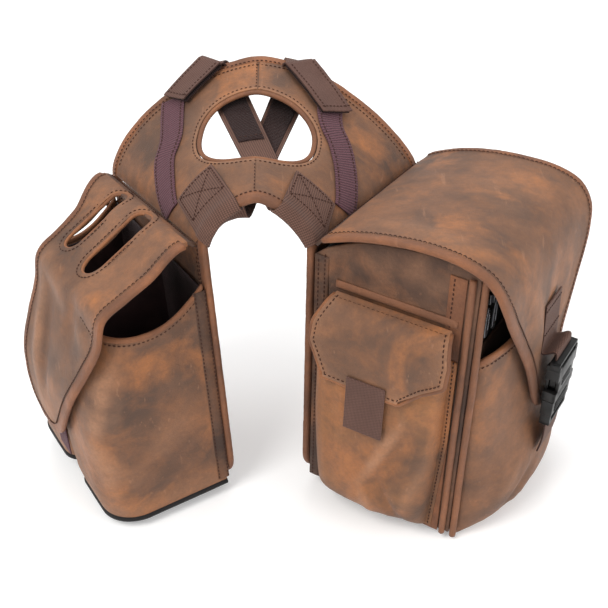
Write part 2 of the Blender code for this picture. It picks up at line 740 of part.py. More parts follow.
PHONE_SIDES = (0.014, 0.130)
PHONE_DEPTHS = ((-0.066, 0.0200), (-0.105, 0.0235), (-0.150, 0.0265), (-0.205, 0.0275),
                (-0.235, 0.0235), (-0.249, 0.012), (-0.254, 0.002))
PHONE_PROFILE = ((0.0045, -0.0330), (0.0150, -0.0385), (0.0255, -0.0520), (0.0295, -0.0750),
                 (0.0305, -0.1050))
PHONE_EDGES = ((0.0, 0.026, 0.130), (0.012, 0.022, 0.133), (0.035, 0.015, 0.138),
               (0.062, 0.016, 0.137), (0.078, 0.034, 0.119))
PHONE_PIVOT = (0.0, -0.0045, -0.0330)
PHONE_HOOD_LOW, PHONE_HOOD_HIGH = (0.024, -0.0028, -0.0318), (0.132, -0.0004, -0.0200)
TAB_SIDES = (0.053, 0.071, 0.089)


def build_phone_pocket():
    rows = []
    for z, depth in PHONE_DEPTHS:
        draw_in = 0.006 * min(1.0, max(0.0, (-0.15 - z) / 0.1))
        rows.append([(mix(PHONE_SIDES[0] + draw_in, PHONE_SIDES[1] - draw_in, k / 14),
                      -0.0024 - depth * bulge(k / 14, 3.0), z) for k in range(15)])
    sheet("phone_pocket", rows, 0.0026, leather(), RIGHT)
    block("phone_hood", PHONE_HOOD_LOW, PHONE_HOOD_HIGH, leather(), RIGHT)
    line = smooth([(0, -y, z) for y, z in PHONE_PROFILE], 2)
    reach = [0.0]
    for a, b in zip(line, line[1:]):
        reach.append(reach[-1] + (b - a).length)
    rows = []
    for spot, run in zip(line, reach):
        low = between([(-a, b) for a, b, _ in PHONE_EDGES], -run)
        high = between([(-a, b) for a, _, b in PHONE_EDGES], -run)
        rows.append([(mix(low, high, k / 8), spot.y, spot.z) for k in range(9)])
    sheet("phone_flap", rows, 0.0024, leather(), RIGHT, PHONE_PIVOT)
    rows = [[(x, y, z) for x in TAB_SIDES]
            for y, z in ((-0.0328, -0.094), (-0.0332, -0.120), (-0.0336, -0.145))]
    sheet("phone_tab", rows, WEB_THICK, webbing(), RIGHT, PHONE_PIVOT)
    rows = [[(x, y, z) for x in (0.056, 0.071, 0.086)]
            for y, z in ((-0.0300, -0.113), (-0.0310, -0.128), (-0.0315, -0.142))]
    sheet("phone_loop_patch", rows, 0.0010, loop_tape(), RIGHT)


# Side-release buckle ----------------------------------------------------------------------

def build_buckle():
    y = BUCKLE_ALONG
    female = block("buckle_female", (BUCKLE_X - 0.006, y - 0.022, BUCKLE_JOIN),
                   (BUCKLE_X + 0.006, y + 0.022, BUCKLE_TOP), buckle_plastic(), RIGHT,
                   RIGHT_PIVOT, 0.0015)
    room = block("room", (BUCKLE_X - 0.0032, y - 0.0165, BUCKLE_JOIN - 0.01),
                 (BUCKLE_X + 0.0032, y + 0.0165, BUCKLE_TOP - 0.010), lining(), RIGHT)
    cut(female, cutter("buckle_room_cutter", room))
    window = block("window", (BUCKLE_X - 0.0030, y - 0.03, BUCKLE_JOIN + 0.010),
                   (BUCKLE_X + 0.0030, y + 0.03, BUCKLE_JOIN + 0.024), lining(), RIGHT)
    cut(female, cutter("buckle_window_cutter", window))
    base, tip = BUCKLE_JOIN - 0.0008, BUCKLE_TOP - 0.013
    outline = [(-0.020, BUCKLE_END), (0.020, BUCKLE_END), (0.020, base), (0.0045, base),
               (0.0030, tip), (-0.0030, tip), (-0.0045, base), (-0.020, base)]
    plate("buckle_male", outline, 0.0056, buckle_plastic(), RIGHT, (BUCKLE_X, y, 0), ACROSS_X)
    for side, sign in (("left", -1), ("right", 1)):
        prong = [(0.0070, base + 0.0006), (0.0115, base + 0.0006), (0.0130, base + 0.010),
                 (0.0158, base + 0.013), (0.0158, base + 0.020), (0.0120, tip - 0.001),
                 (0.0090, tip - 0.001), (0.0080, base + 0.012)]
        outline = [(sign * u, v) for u, v in prong]
        pivot_z = base + 0.0006
        outline = [(u - sign * 0.0092, v - pivot_z) for u, v in outline]
        plate("buckle_prong_" + side, outline[::sign], 0.0048, buckle_plastic(), RIGHT,
              (BUCKLE_X, y + sign * 0.0092, pivot_z), ACROSS_X)
    rows = [[(x, along, z) for along in STRAP_ALONG]
            for x, z in ((BUCKLE_X, BUCKLE_END - 0.0006), (BUCKLE_X + 0.0003, -0.176),
                         (BUCKLE_X + 0.0005, -0.196))]
    sheet("lower_buckle_strap", rows, WEB_THICK, webbing(), RIGHT)


# Bottle bag -------------------------------------------------------------------------------

MOUTH = ((0.0, -0.034), (0.016, -0.044), (0.045, -0.058), (0.074, -0.064), (0.125, -0.062))
DEPTHS = ((-0.034, 0.092), (-0.062, 0.094), (-0.085, 0.102), (-0.100, 0.109), (-0.122, 0.1155),
          (-0.150, 0.119), (-0.190, 0.1205), (-0.235, 0.1195), (-0.258, 0.115))
POCKETS = {"near": (0.0020, 0.0935, 0.0, 0.032, 0.018), "far": (0.0968, 0.1868, 0.012, 0.018, 0.030)}


def pocket_path(depth, near, far, round_near, round_far, back):
    """Plan of a bottle pocket: out from the back, round both corners and back in."""
    path = [(back, near), ((depth - round_near) * 0.33, near), ((depth - round_near) * 0.67, near)]
    path += corner((depth - round_near, near + round_near), round_near, -90, 0, 4)
    path += corner((depth - round_far, far - round_far), round_far, 0, 90, 4)
    path += [((depth - round_far) * 0.67, far), ((depth - round_far) * 0.33, far), (back, far)]
    return path


def mouth_at(x):
    return between([(-a, b) for a, b in MOUTH], -x)


def pocket_rows(near, far, lift, round_near, round_far, back, lower, inset):
    plan = pocket_path(0.12, near, far, round_near, round_far, back)
    rows = []
    for step in range(9):
        row = []
        for index, (x, _) in enumerate(plan):
            z = mix(mouth_at(x) - lower, -BAG_HEIGHT + lift + lower * 0.5, step / 8)
            depth = between(DEPTHS, z + lift) - inset
            spot = pocket_path(depth, near, far, round_near, round_far, back)[index]
            row.append((-spot[0], spot[1], z))
        rows.append(row)
    return rows


def build_bottle_bag():
    for side, (near, far, lift, round_near, round_far) in POCKETS.items():
        rows = pocket_rows(near, far, lift, round_near, round_far, 0.0030, 0.0, 0.0)
        sheet("bottle_pocket_" + side, rows, 0.0028, leather(), LEFT)
        rows = pocket_rows(near + 0.0030, far - 0.0030, lift, round_near - 0.003,
                           round_far - 0.003, 0.0030, 0.0050, 0.0030)
        build_liner("bottle_liner_" + side, rows)
        plan = pocket_path(0.116, near, far, round_near, round_far, 0.0030)
        plate("bottle_base_" + side, [(-x, y) for x, y in plan][::-1], 0.005, black_nylon(), LEFT,
              (0, 0, -BAG_HEIGHT + lift - 0.0030), (0, 0, 0))
    rows = [[(-0.1231, y, z) for y in (0.082, 0.095, 0.108)] for z in (-0.165, -0.190, -0.225)]
    sheet("left_loop_patch", rows, 0.0012, loop_tape(), LEFT)


def build_liner(name, rows):
    """A dark lining with a closed bottom, round inside a pocket and across its back."""
    mesh = bpy.data.meshes.new(name)
    form = bmesh.new()
    grid = [[form.verts.new(point) for point in row] for row in rows]
    for low, high in zip(grid, grid[1:]):
        for k in range(len(low)):
            following = (k + 1) % len(low)
            form.faces.new((low[k], low[following], high[following], high[k]))
    form.faces.new(grid[-1])
    form.to_mesh(mesh)
    form.free()
    made = place(name, mesh, lining(), LEFT)
    shell = made.modifiers.new("thickness", "SOLIDIFY")
    shell.thickness = 0.0012
    shell.offset = 0.0


clear_scene()
PARTS = make_collection("saddle_horn_bag")
CUTTERS = make_collection("cutters")
HOME = frame_empty("between_the_folds", None, -ORIGIN)
RIGHT = frame_empty("main_bag_frame", HOME, (FOLD_NEAR, 0, 0), (0, RIGHT_TILT, -FOLD_TURN))
LEFT = frame_empty("bottle_bag_frame", HOME, (-FOLD_NEAR, 0, 0), (0, -LEFT_TILT, FOLD_TURN))
bpy.context.view_layer.update()
build_yoke(HOME)
build_loop_strips(HOME)
build_patches(HOME)
build_straps(HOME)
build_strap_ends(HOME)
build_back_panels()
build_edges(HOME)
build_left_flap()
build_right_flap()
build_main_bag()
build_insert()
build_phone_pocket()
build_buckle()
build_bottle_bag()
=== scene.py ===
"""Looks of a saddle horn bag: leather, bindings, stitches, webbing, linings and hardware.

Metres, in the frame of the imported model.  Each bag has a frame of its own: X across the bag,
Y along its fold line, Z up; the bottle bag's X runs towards the yoke.
"""
import math

import bmesh
import bpy
from mathutils import Euler, Matrix, Vector, noise


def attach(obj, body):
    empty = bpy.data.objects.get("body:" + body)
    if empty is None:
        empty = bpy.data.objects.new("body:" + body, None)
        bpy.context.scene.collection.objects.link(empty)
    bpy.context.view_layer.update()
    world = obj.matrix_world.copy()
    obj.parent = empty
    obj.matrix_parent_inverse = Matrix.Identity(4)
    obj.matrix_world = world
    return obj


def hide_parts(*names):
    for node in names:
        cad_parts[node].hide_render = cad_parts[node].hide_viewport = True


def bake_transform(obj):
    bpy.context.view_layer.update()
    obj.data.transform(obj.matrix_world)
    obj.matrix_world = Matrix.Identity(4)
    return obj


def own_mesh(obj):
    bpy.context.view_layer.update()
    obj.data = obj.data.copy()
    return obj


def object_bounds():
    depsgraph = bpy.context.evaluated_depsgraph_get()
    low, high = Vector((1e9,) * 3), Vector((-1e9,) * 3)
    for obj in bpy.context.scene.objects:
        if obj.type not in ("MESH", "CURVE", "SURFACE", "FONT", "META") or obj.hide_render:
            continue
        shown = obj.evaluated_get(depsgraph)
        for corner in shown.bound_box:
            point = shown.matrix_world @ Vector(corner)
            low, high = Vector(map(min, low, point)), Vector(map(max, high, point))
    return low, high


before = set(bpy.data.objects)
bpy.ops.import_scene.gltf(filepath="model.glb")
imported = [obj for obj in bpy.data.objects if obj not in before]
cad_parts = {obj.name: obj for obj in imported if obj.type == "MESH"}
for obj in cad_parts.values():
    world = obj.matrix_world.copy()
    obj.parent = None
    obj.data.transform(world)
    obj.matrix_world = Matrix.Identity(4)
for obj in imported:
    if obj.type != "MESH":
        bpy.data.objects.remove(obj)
CAD_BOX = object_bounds()

# Measures shared with the part -------------------------------------------------------------

FOLD_NEAR, FOLD_FAR, FOLD_RUN, FOLD_DROP = 0.046, 0.143, 0.162, 0.014
RISE_NEAR, RISE_FAR = 0.040, 0.100
RECESS_NEAR, BULGE_FAR = 0.012, 0.033
ROUND_LEFT, ROUND_RIGHT = 1.7, 1.4
ORIGIN = Vector((0.0, 0.105, 0.062))
LEATHER = 0.0024
HOLE_HALF_WIDTH, HOLE_HALF_DEPTH = 0.051, 0.043
HOLE_TURN, HOLE_POWER = math.radians(-9), 2.3
FOLD_LENGTH = math.hypot(FOLD_FAR - FOLD_NEAR, FOLD_RUN)
FOLD_TURN = math.atan2(FOLD_FAR - FOLD_NEAR, FOLD_RUN)
LEFT_TILT, RIGHT_TILT = math.radians(1.3), math.radians(3.5)
BAG_HEIGHT, BAG_DEPTH = 0.257, 0.147
PANEL_THICK, PANEL_CORNER = 0.005, 0.026
FLAP_THICK = 0.004

HOME = Matrix.Translation(-ORIGIN)


def bag_frame(sign, tilt):
    turn = Euler((0, sign * tilt, -sign * FOLD_TURN)).to_matrix().to_4x4()
    return HOME @ Matrix.Translation((sign * FOLD_NEAR, 0, 0)) @ turn


RIGHT = bag_frame(1, RIGHT_TILT)
LEFT = bag_frame(-1, LEFT_TILT)


def mix(low, high, t):
    return low + (high - low) * t


def clamp(value, low=0.0, high=1.0):
    return max(low, min(high, value))


def ease(low, high, value):
    t = clamp((value - low) / (high - low))
    return t * t * (3 - 2 * t)


def smooth(keys, steps):
    """Points on a smooth curve through the keys, with the same number of steps between each pair."""
    keys = [Vector(key) for key in keys]
    ends = [2 * keys[0] - keys[1], *keys, 2 * keys[-1] - keys[-2]]
    points = []
    for a, b, c, d in zip(ends, ends[1:], ends[2:], ends[3:]):
        for step in range(steps):
            t = step / steps
            bend = (2 * a - 5 * b + 4 * c - d) * t + (3 * b - a - 3 * c + d) * t * t
            points.append(b + 0.5 * t * ((c - a) + bend))
    points.append(ends[-2])
    return points


def between(keys, value):
    """The second number for a value, along keys in rising order of the first."""
    for (low, a), (high, b) in zip(keys, keys[1:]):
        if value <= high:
            return mix(a, b, clamp((value - low) / (high - low)))
    return keys[-1][1]


def arc(centre, radius, start, stop, steps):
    """Points on an arc, angles in degrees."""
    points = []
    for step in range(steps + 1):
        angle = math.radians(mix(start, stop, step / steps))
        points.append((centre[0] + radius * math.cos(angle), centre[1] + radius * math.sin(angle)))
    return points


def rough(point, size, seed=0):
    """Smooth noise from -1 to 1 with features of about that size."""
    return noise.noise(Vector(point) / size + Vector((seed * 7.3, seed * 3.1, seed * 5.7)))


def crease(u, v, a, b, width, height):
    """A ridge or, with a negative height, a furrow along the line from a to b; it fades at its ends."""
    run = Vector(b) - Vector(a)
    reach = (Vector((u, v)) - Vector(a)).dot(run) / run.length_squared
    miss = (Vector((u, v)) - Vector(a) - run * clamp(reach)).length / width
    fade = math.sin(math.pi * clamp(0.12 + 0.76 * reach)) if 0 < reach < 1 else 0.35
    return height * fade * math.exp(-miss * miss)


def folds(u, v, lines):
    """The height of several creases at a place."""
    return sum((crease(u, v, *line) for line in lines), 0.0)


def bulge(u, power):
    """A hump from 0 to 1 and back; the higher the power, the flatter its top."""
    return max(0.0, 1 - abs(2 * u - 1) ** power) ** (1 / power)


def curve(keys, steps, sign=1):
    """The pairs of a smooth curve through pairs, for between(); the sign is that of the first number."""
    return [(sign * p.x, p.y) for p in smooth([(a, b, 0) for a, b in keys], steps)]


def slope_at(y):
    """How far the fold line has dropped at y."""
    return FOLD_DROP * y / FOLD_LENGTH


def toward(matrix, direction):
    return matrix.to_3x3() @ Vector(direction)


def placed(matrix, rows):
    return [[matrix @ Vector(p) for p in row] for row in rows]


def net(high, wide, spot):
    """A grid of spot(v, u), with v from 0 to 1 down its rows and u along them."""
    return [[spot(r / high, c / wide) for c in range(wide + 1)] for r in range(high + 1)]


def lengths(line):
    """The distance along a line at each of its points."""
    reach = [0.0]
    for a, b in zip(line, line[1:]):
        reach.append(reach[-1] + (b - a).length)
    return reach

# Materials ----------------------------------------------------------------------------------

def linear(r, g, b):
    """A colour given in 0-255 display values, as the shader takes it."""
    return (*[(c / 255) ** 2.2 for c in (r, g, b)], 1.0)


class Mat:
    """A node material; every helper returns an output socket."""

    def __init__(self, name):
        self.data = bpy.data.materials.new(name)
        self.data.use_nodes = True
        self.tree = self.data.node_tree
        self.shader = self.tree.nodes["Principled BSDF"]
        self.place = self.node("ShaderNodeTexCoord").outputs["Object"]

    def node(self, kind, **values):
        made = self.tree.nodes.new(kind)
        for key, value in values.items():
            setattr(made, key, value)
        return made

    def link(self, source, target):
        self.tree.links.new(source, target)

    def scaled(self, source, scale, turn=(0, 0, 0)):
        made = self.node("ShaderNodeMapping")
        made.inputs["Scale"].default_value = scale
        made.inputs["Rotation"].default_value = turn
        self.link(source, made.inputs["Vector"])
        return made.outputs["Vector"]

    def noise(self, scale, detail=4.0, rough=0.55, distort=0.0, source=None):
        made = self.node("ShaderNodeTexNoise")
        made.inputs["Scale"].default_value = scale
        made.inputs["Detail"].default_value = detail
        made.inputs["Roughness"].default_value = rough
        made.inputs["Distortion"].default_value = distort
        self.link(source or self.place, made.inputs["Vector"])
        return made.outputs["Fac"]

    def cells(self, scale, source=None):
        made = self.node("ShaderNodeTexVoronoi", feature="F1")
        made.inputs["Scale"].default_value = scale
        self.link(source or self.place, made.inputs["Vector"])
        return made.outputs["Distance"]

    def attribute(self, name, output):
        return self.node("ShaderNodeAttribute", attribute_name=name).outputs[output]

    def ramp(self, source, stops):
        made = self.node("ShaderNodeValToRGB")
        ramp = made.color_ramp
        while len(ramp.elements) < len(stops):
            ramp.elements.new(0.5)
        for element, (spot, value) in zip(ramp.elements, stops):
            element.position = spot
            element.color = value if hasattr(value, "__len__") else (value, value, value, 1.0)
        self.link(source, made.inputs["Fac"])
        return made.outputs["Color"]

    def math(self, kind, a, b=0.0):
        made = self.node("ShaderNodeMath", operation=kind)
        for socket, value in zip(made.inputs, (a, b)):
            if isinstance(value, (int, float)):
                socket.default_value = value
            else:
                self.link(value, socket)
        return made.outputs[0]

    def plus(self, a, b):
        return self.math("ADD", a, b)

    def times(self, a, b):
        return self.math("MULTIPLY", a, b)

    def blend(self, share, a, b):
        made = self.node("ShaderNodeMix", data_type="RGBA", blend_type="MIX")
        for socket, value in zip((made.inputs[0], made.inputs[6], made.inputs[7]), (share, a, b)):
            if isinstance(value, (int, float, tuple)):
                socket.default_value = value
            else:
                self.link(value, socket)
        return made.outputs[2]

    def tint(self, colour, tone, source, *stops):
        """The colour turned to a tone as far as a ramp over the source says."""
        return self.blend(self.ramp(source, stops), colour, tone)

    def split(self, source):
        made = self.node("ShaderNodeSeparateXYZ")
        self.link(source, made.inputs[0])
        return made.outputs

    def finish(self, colour, roughness, height=None, depth=0.0, specular=0.5, sheen=0.0, metallic=0.0):
        for socket, value in (("Base Color", colour), ("Roughness", roughness)):
            if isinstance(value, (int, float, tuple)):
                self.shader.inputs[socket].default_value = value
            else:
                self.link(value, self.shader.inputs[socket])
        self.shader.inputs["Specular IOR Level"].default_value = specular
        self.shader.inputs["Sheen Weight"].default_value = sheen
        self.shader.inputs["Sheen Roughness"].default_value = 0.5
        self.shader.inputs["Metallic"].default_value = metallic
        if height is not None:
            bump = self.node("ShaderNodeBump")
            bump.inputs["Distance"].default_value = depth
            bump.inputs["Strength"].default_value = 1.0
            self.link(height, bump.inputs["Height"])
            self.link(bump.outputs["Normal"], self.shader.inputs["Normal"])
        return self.data


def leather_finish(name, base, dark, warm, pale, warm_at=0.56, seed=0.0):
    """Oiled, distressed leather: cloudy patches, scuffs, pores and paler worn ridges."""
    m = Mat(name)
    place = m.node("ShaderNodeVectorMath", operation="ADD")
    m.link(m.place, place.inputs[0])
    place.inputs[1].default_value = (seed, seed * 1.7, seed * 0.6)
    place = place.outputs[0]
    clouds = m.noise(12, 4, 0.55, 0.30, place)
    patches = m.noise(17, 4, 0.56, 0.40, m.scaled(place, (1, 1.2, 0.75), (0.4, 0.9, 0.3)))
    mottle = m.noise(75, 6, 0.66, 0.3, place)
    flecks = m.noise(42, 6, 0.64, 0.5, m.scaled(place, (0.8, 1.0, 1.3), (0.9, 0.2, 0.6)))
    colour = m.tint(base, dark, clouds, (0.38, 0.0), (0.64, 0.90))
    colour = m.tint(colour, warm, patches, (warm_at - 0.05, 0.0), (warm_at + 0.14, 0.95))
    colour = m.tint(colour, warm, flecks, (0.50, 0.0), (0.74, 0.36))
    colour = m.tint(colour, dark, flecks, (0.26, 0.34), (0.48, 0.0))
    colour = m.tint(colour, dark, mottle, (0.42, 0.0), (0.72, 0.42))
    scuffs = m.noise(210, 3, 0.5, 0.3, m.scaled(place, (1.0, 0.10, 0.45), (0.5, 0.3, 0.8)))
    colour = m.tint(colour, pale, scuffs, (0.66, 0.0), (0.74, 0.30))
    wear = m.times(m.attribute("wear", "Fac"), m.ramp(mottle, ((0.30, 0.45), (0.62, 1.0))))
    colour = m.blend(wear, colour, pale)
    colour = m.tint(colour, dark, m.noise(340, 5, 0.7, 0.2, place), (0.36, 0.0), (0.70, 0.30))
    pores = m.cells(820, place)
    grain = m.plus(m.times(pores, 0.55), m.noise(1500, 3, 0.6, 0, place))
    wrinkle = m.noise(160, 5, 0.6, 1.2, place)
    height = m.plus(m.times(wrinkle, 1.6), grain)
    colour = m.tint(colour, dark, pores, (0.02, 0.28), (0.22, 0.0))
    roughness = m.ramp(patches, ((0.35, 0.66), (0.70, 0.52)))
    return m.finish(colour, roughness, height, 0.00022, 0.26, 0.04)


BASE, DEEP = linear(131, 91, 66), linear(80, 63, 54)
WARM, PALE = linear(160, 103, 63), linear(170, 124, 94)


def webbing_finish(name, colour, dark, cords, picks, depth=0.0003):
    """Woven tape: cords run along it, crossed by picks; 'lay' holds the metres along and across."""
    m = Mat(name)
    along, across, _ = m.split(m.attribute("lay", "Vector"))
    cord = m.math("ABSOLUTE", m.math("SINE", m.times(across, math.pi / cords)))
    shift = m.times(m.math("FLOOR", m.math("DIVIDE", across, cords)), 1.7)
    pick = m.math("SINE", m.plus(m.times(along, 2 * math.pi / picks), shift))
    weave = m.times(m.math("POWER", cord, 0.6), m.plus(m.times(pick, 0.28), 0.72))
    fuzz = m.noise(900, 3, 0.6)
    shade = m.plus(weave, m.times(fuzz, 0.45))
    tint = m.tint(dark, colour, shade, (0.25, 0.0), (1.0, 1.0))
    tint = m.tint(tint, dark, m.noise(38, 3), (0.35, 0.0), (0.8, 0.30))
    return m.finish(tint, 0.82, m.plus(weave, m.times(fuzz, 0.3)), depth, 0.22, 0.06)


def pile_finish(name, colour, dark, rows):
    """Hook or loop tape: a dense fuzzy pile in faint rows."""
    m = Mat(name)
    along, across, _ = m.split(m.attribute("lay", "Vector"))
    rib = m.math("SINE", m.times(m.plus(along, m.times(across, 0.18)),
                               2 * math.pi / rows))
    tufts = m.cells(1300)
    fuzz = m.noise(1700, 4, 0.7)
    height = m.plus(m.plus(m.times(rib, 0.22), tufts), fuzz)
    shade = m.plus(m.times(rib, 0.16), fuzz)
    tint = m.tint(dark, colour, shade, (0.28, 0.0), (0.72, 1.0))
    return m.finish(tint, 0.95, height, 0.0004, 0.10, 0.10)


def cloth_finish(name, colour, dark, size, roughness, sheen, specular=0.3):
    """Plain woven cloth: two crossed sets of threads in the object's own space."""
    m = Mat(name)
    x, y, z = m.split(m.place)
    one = m.math("SINE", m.times(m.plus(x, y), 2 * math.pi / size))
    two = m.math("SINE", m.times(z, 2 * math.pi / size))
    weave = m.times(one, two)
    cloud = m.noise(30, 4)
    tint = m.tint(dark, colour, m.plus(m.times(weave, 0.12), cloud), (0.3, 0.0), (0.75, 1.0))
    return m.finish(tint, roughness, weave, 0.00008, specular, sheen)


def smooth_finish(name, colour, roughness, grain, depth, metallic=0.0, specular=0.5):
    m = Mat(name)
    cloud = m.noise(60, 3)
    tint = m.tint(colour, linear(90, 88, 86), cloud, (0.3, 0.0), (0.7, 0.10))
    gloss = m.ramp(m.noise(140, 4), ((0.3, roughness - 0.06), (0.7, roughness + 0.08)))
    return m.finish(tint, gloss, m.noise(grain, 3), depth, specular, 0.0, metallic)


FINISH = {
    "leather": leather_finish("leather", BASE, DEEP, WARM, PALE),
    "leather_warm": leather_finish("leather_warm", linear(146, 99, 64), DEEP, WARM, PALE, 0.47, 0.31),
    "leather_dark": leather_finish("leather_dark", linear(100, 72, 56), linear(62, 47, 40),
                                   linear(132, 87, 58), linear(136, 98, 74), 0.58, 0.53),
    "binding": leather_finish("binding_leather", linear(114, 75, 54), linear(82, 56, 44),
                              linear(138, 88, 58), linear(154, 109, 82), 0.50, 0.17),
    "edge_tan": leather_finish("edge_tan", linear(126, 82, 56), linear(90, 60, 46),
                               linear(148, 95, 60), linear(164, 116, 86), 0.48, 0.77),
    "webbing": webbing_finish("webbing", linear(108, 80, 69), linear(54, 38, 34), 0.0021, 0.0016),
    "webbing_plain": webbing_finish("webbing_plain", linear(104, 77, 68), linear(58, 41, 37), 0.0013,
                                    0.0017, 0.00018),
    "loop_tape": pile_finish("loop_tape", linear(108, 75, 82), linear(62, 41, 47), 0.0026),
    "hook_tape": pile_finish("hook_tape", linear(58, 41, 39), linear(26, 17, 17), 0.0019),
    "lining": cloth_finish("lining", linear(64, 46, 46), linear(32, 22, 23), 0.0011, 0.50, 0.05),
    "black_nylon": cloth_finish("black_nylon", linear(30, 28, 29), linear(13, 12, 13), 0.0014, 0.62, 0.05),
    "black_trim": cloth_finish("black_trim", linear(36, 33, 34), linear(17, 15, 16), 0.0009, 0.7, 0.05),
    "buckle": smooth_finish("buckle_plastic", linear(12, 12, 13), 0.40, 900, 0.00004, 0.0, 0.35),
    "zinc": smooth_finish("zinc", linear(120, 120, 124), 0.30, 500, 0.00003, 0.9),
    "thread": smooth_finish("thread", linear(62, 38, 30), 0.75, 1800, 0.00006, 0.0, 0.2),
    "thread_black": smooth_finish("thread_black", linear(30, 27, 27), 0.75, 1800, 0.00006, 0.0, 0.2),
}


# Mesh builders --------------------------------------------------------------------------------

def finish_piece(name, mesh, finish, body, nodes=()):
    made = bpy.data.objects.new(name, mesh)
    bpy.context.scene.collection.objects.link(made)
    mesh.materials.append(FINISH[finish])
    mesh.shade_smooth()
    if body:
        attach(made, body)
    if nodes:
        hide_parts(*nodes)
    return made


def set_attribute(mesh, name, kind, values):
    made = mesh.attributes.new(name, kind, "POINT")
    key = "vector" if kind == "FLOAT_VECTOR" else "value"
    flat = [c for v in values for c in v] if key == "vector" else values
    made.data.foreach_set(key, flat)


def grid_mesh(name, rows, wear, closed):
    """A mesh over a grid of points, with the metres along and across it kept as 'lay'."""
    wide = len(rows[0])
    rows = [[Vector(p) for p in row] for row in rows]
    points = [p for row in rows for p in row]
    faces = []
    for r in range(len(rows) - 1):
        for c in range(wide if closed else wide - 1):
            a, b = r * wide + c, r * wide + (c + 1) % wide
            faces.append((a, b, b + wide, a + wide))
    mesh = bpy.data.meshes.new(name)
    mesh.from_pydata(points, [], faces)
    down = lengths([row[wide // 2] for row in rows])
    lay = [(along, across, 0.0) for along, row in zip(down, rows) for across in lengths(row)]
    set_attribute(mesh, "lay", "FLOAT_VECTOR", lay)
    flat = [w for row in wear for w in row] if wear else [0.0] * len(points)
    set_attribute(mesh, "wear", "FLOAT", flat)
    return mesh


def grid_normals(rows):
    high, wide = len(rows) - 1, len(rows[0]) - 1
    normals = []
    for r, row in enumerate(rows):
        above, below = rows[max(r - 1, 0)], rows[min(r + 1, high)]
        normals.append([(row[min(c + 1, wide)] - row[max(c - 1, 0)]).cross(below[c] - above[c]).normalized()
                        for c in range(wide + 1)])
    return normals


def facing(rows, spot, out):
    """1 if the grid's normal at a row and column points outward, or -1."""
    return 1 if grid_normals(rows)[spot[0]][spot[1]].dot(out) > 0 else -1


def emboss(rows, lift, flip):
    """Moves each point of a grid along its normal by lift(row, column); returns rows and heights."""
    normals = grid_normals(rows)
    heights = [[lift(r, c) for c in range(len(rows[0]))] for r in range(len(rows))]
    moved = [[p + n * (h * flip) for p, n, h in zip(*trio)] for trio in zip(rows, normals, heights)]
    return moved, heights


def soften(made, width, segments=2, angle=30):
    """Rounds a piece's edges where they turn by more than the angle."""
    bevel = made.modifiers.new("edges", "BEVEL")
    bevel.width, bevel.segments, bevel.limit_method = width, segments, "ANGLE"
    bevel.angle_limit = math.radians(angle)


EDGE_SHARE = 0.36


def shell(name, rows, thickness, finish, body, nodes=(), wear=None, closed=False):
    """A sheet of leather or cloth around its middle surface, with rounded raw edges."""
    made = finish_piece(name, grid_mesh(name, rows, wear, closed), finish, body, nodes)
    solid = made.modifiers.new("thickness", "SOLIDIFY")
    solid.thickness, solid.offset = thickness, 0.0
    soften(made, thickness * EDGE_SHARE, angle=55)
    return made


def form_mesh(form, name):
    mesh = bpy.data.meshes.new(name)
    form.to_mesh(mesh)
    form.free()
    return mesh


def section_mesh(name, rings, closed, wear=0.0):
    """A mesh over closed rings of points; open ends are capped."""
    count = len(rings[0])
    points = [p for ring in rings for p in ring]
    faces = []
    for r in range(len(rings) if closed else len(rings) - 1):
        low, high = r * count, ((r + 1) % len(rings)) * count
        for c in range(count):
            following = (c + 1) % count
            faces.append((low + c, low + following, high + following, high + c))
    if not closed:
        faces.append(tuple(range(count))[::-1])
        faces.append(tuple(range(len(points) - count, len(points))))
    mesh = bpy.data.meshes.new(name)
    mesh.from_pydata(points, [], faces)
    form = bmesh.new()
    form.from_mesh(mesh)
    bmesh.ops.recalc_face_normals(form, faces=form.faces)
    form.to_mesh(mesh)
    form.free()
    set_attribute(mesh, "wear", "FLOAT", [wear] * len(points))
    return mesh


def even(frames, spacing, closed=False):
    """Frames (place, inward, normal) spaced evenly along their path."""
    line = frames + [frames[0]] if closed else frames
    reach = lengths([place for place, _, _ in line])
    steps = max(2, round(reach[-1] / spacing))
    spread, index = [], 0
    for step in range(steps if closed else steps + 1):
        target = reach[-1] * step / steps
        while index < len(line) - 2 and reach[index + 1] < target:
            index += 1
        share = (target - reach[index]) / max(reach[index + 1] - reach[index], 1e-9)
        place, inward, normal = (p.lerp(q, share) for p, q in zip(line[index], line[index + 1]))
        spread.append((place, inward.normalized(), normal.normalized()))
    return spread


STRIP_SPACING, LIP = 0.003, 0.0009


def band(name, frames, half, wide, finish, body, nodes=(), closed=False):
    """A strip folded round an edge: a roll outside it and a flat part on both faces."""
    face = [(wide, half * 0.5), (wide - LIP * 0.4, half * 0.86), (wide - LIP, half),
            (wide * 0.4, half * 1.03)]
    section = face + [(-half * math.sin(math.radians(a)), half * math.cos(math.radians(a)))
                      for a in range(0, 181, 20)]
    section += [(wide * 0.4, -half * 1.03), (wide - LIP, -half), (wide, -half * 0.5)]
    rings = []
    for spot, inward, normal in even(frames, STRIP_SPACING, closed):
        swell = 1 + 0.07 * rough(spot, 0.013) + 0.04 * rough(spot, 0.004, 3)
        rings.append([spot + inward * (i if i > 0 else i * swell) + normal * (n * swell) for i, n in section])
    return finish_piece(name, section_mesh(name, rings, closed, 0.12), finish, body, nodes)


def roll(name, frames, radius, finish, body, nodes=(), flat=1.0, spacing=STRIP_SPACING, sides=14):
    """A round cord of leather along a path."""
    rings = []
    for spot, inward, normal in even(frames, spacing):
        swell = radius * (1 + 0.06 * rough(spot, 0.012, 5))
        rings.append([spot + inward * (swell * math.cos(a)) + normal * (swell * flat * math.sin(a))
                      for a in (2 * math.pi * k / sides for k in range(sides))])
    return finish_piece(name, section_mesh(name, rings, False, 0.25), finish, body, nodes)


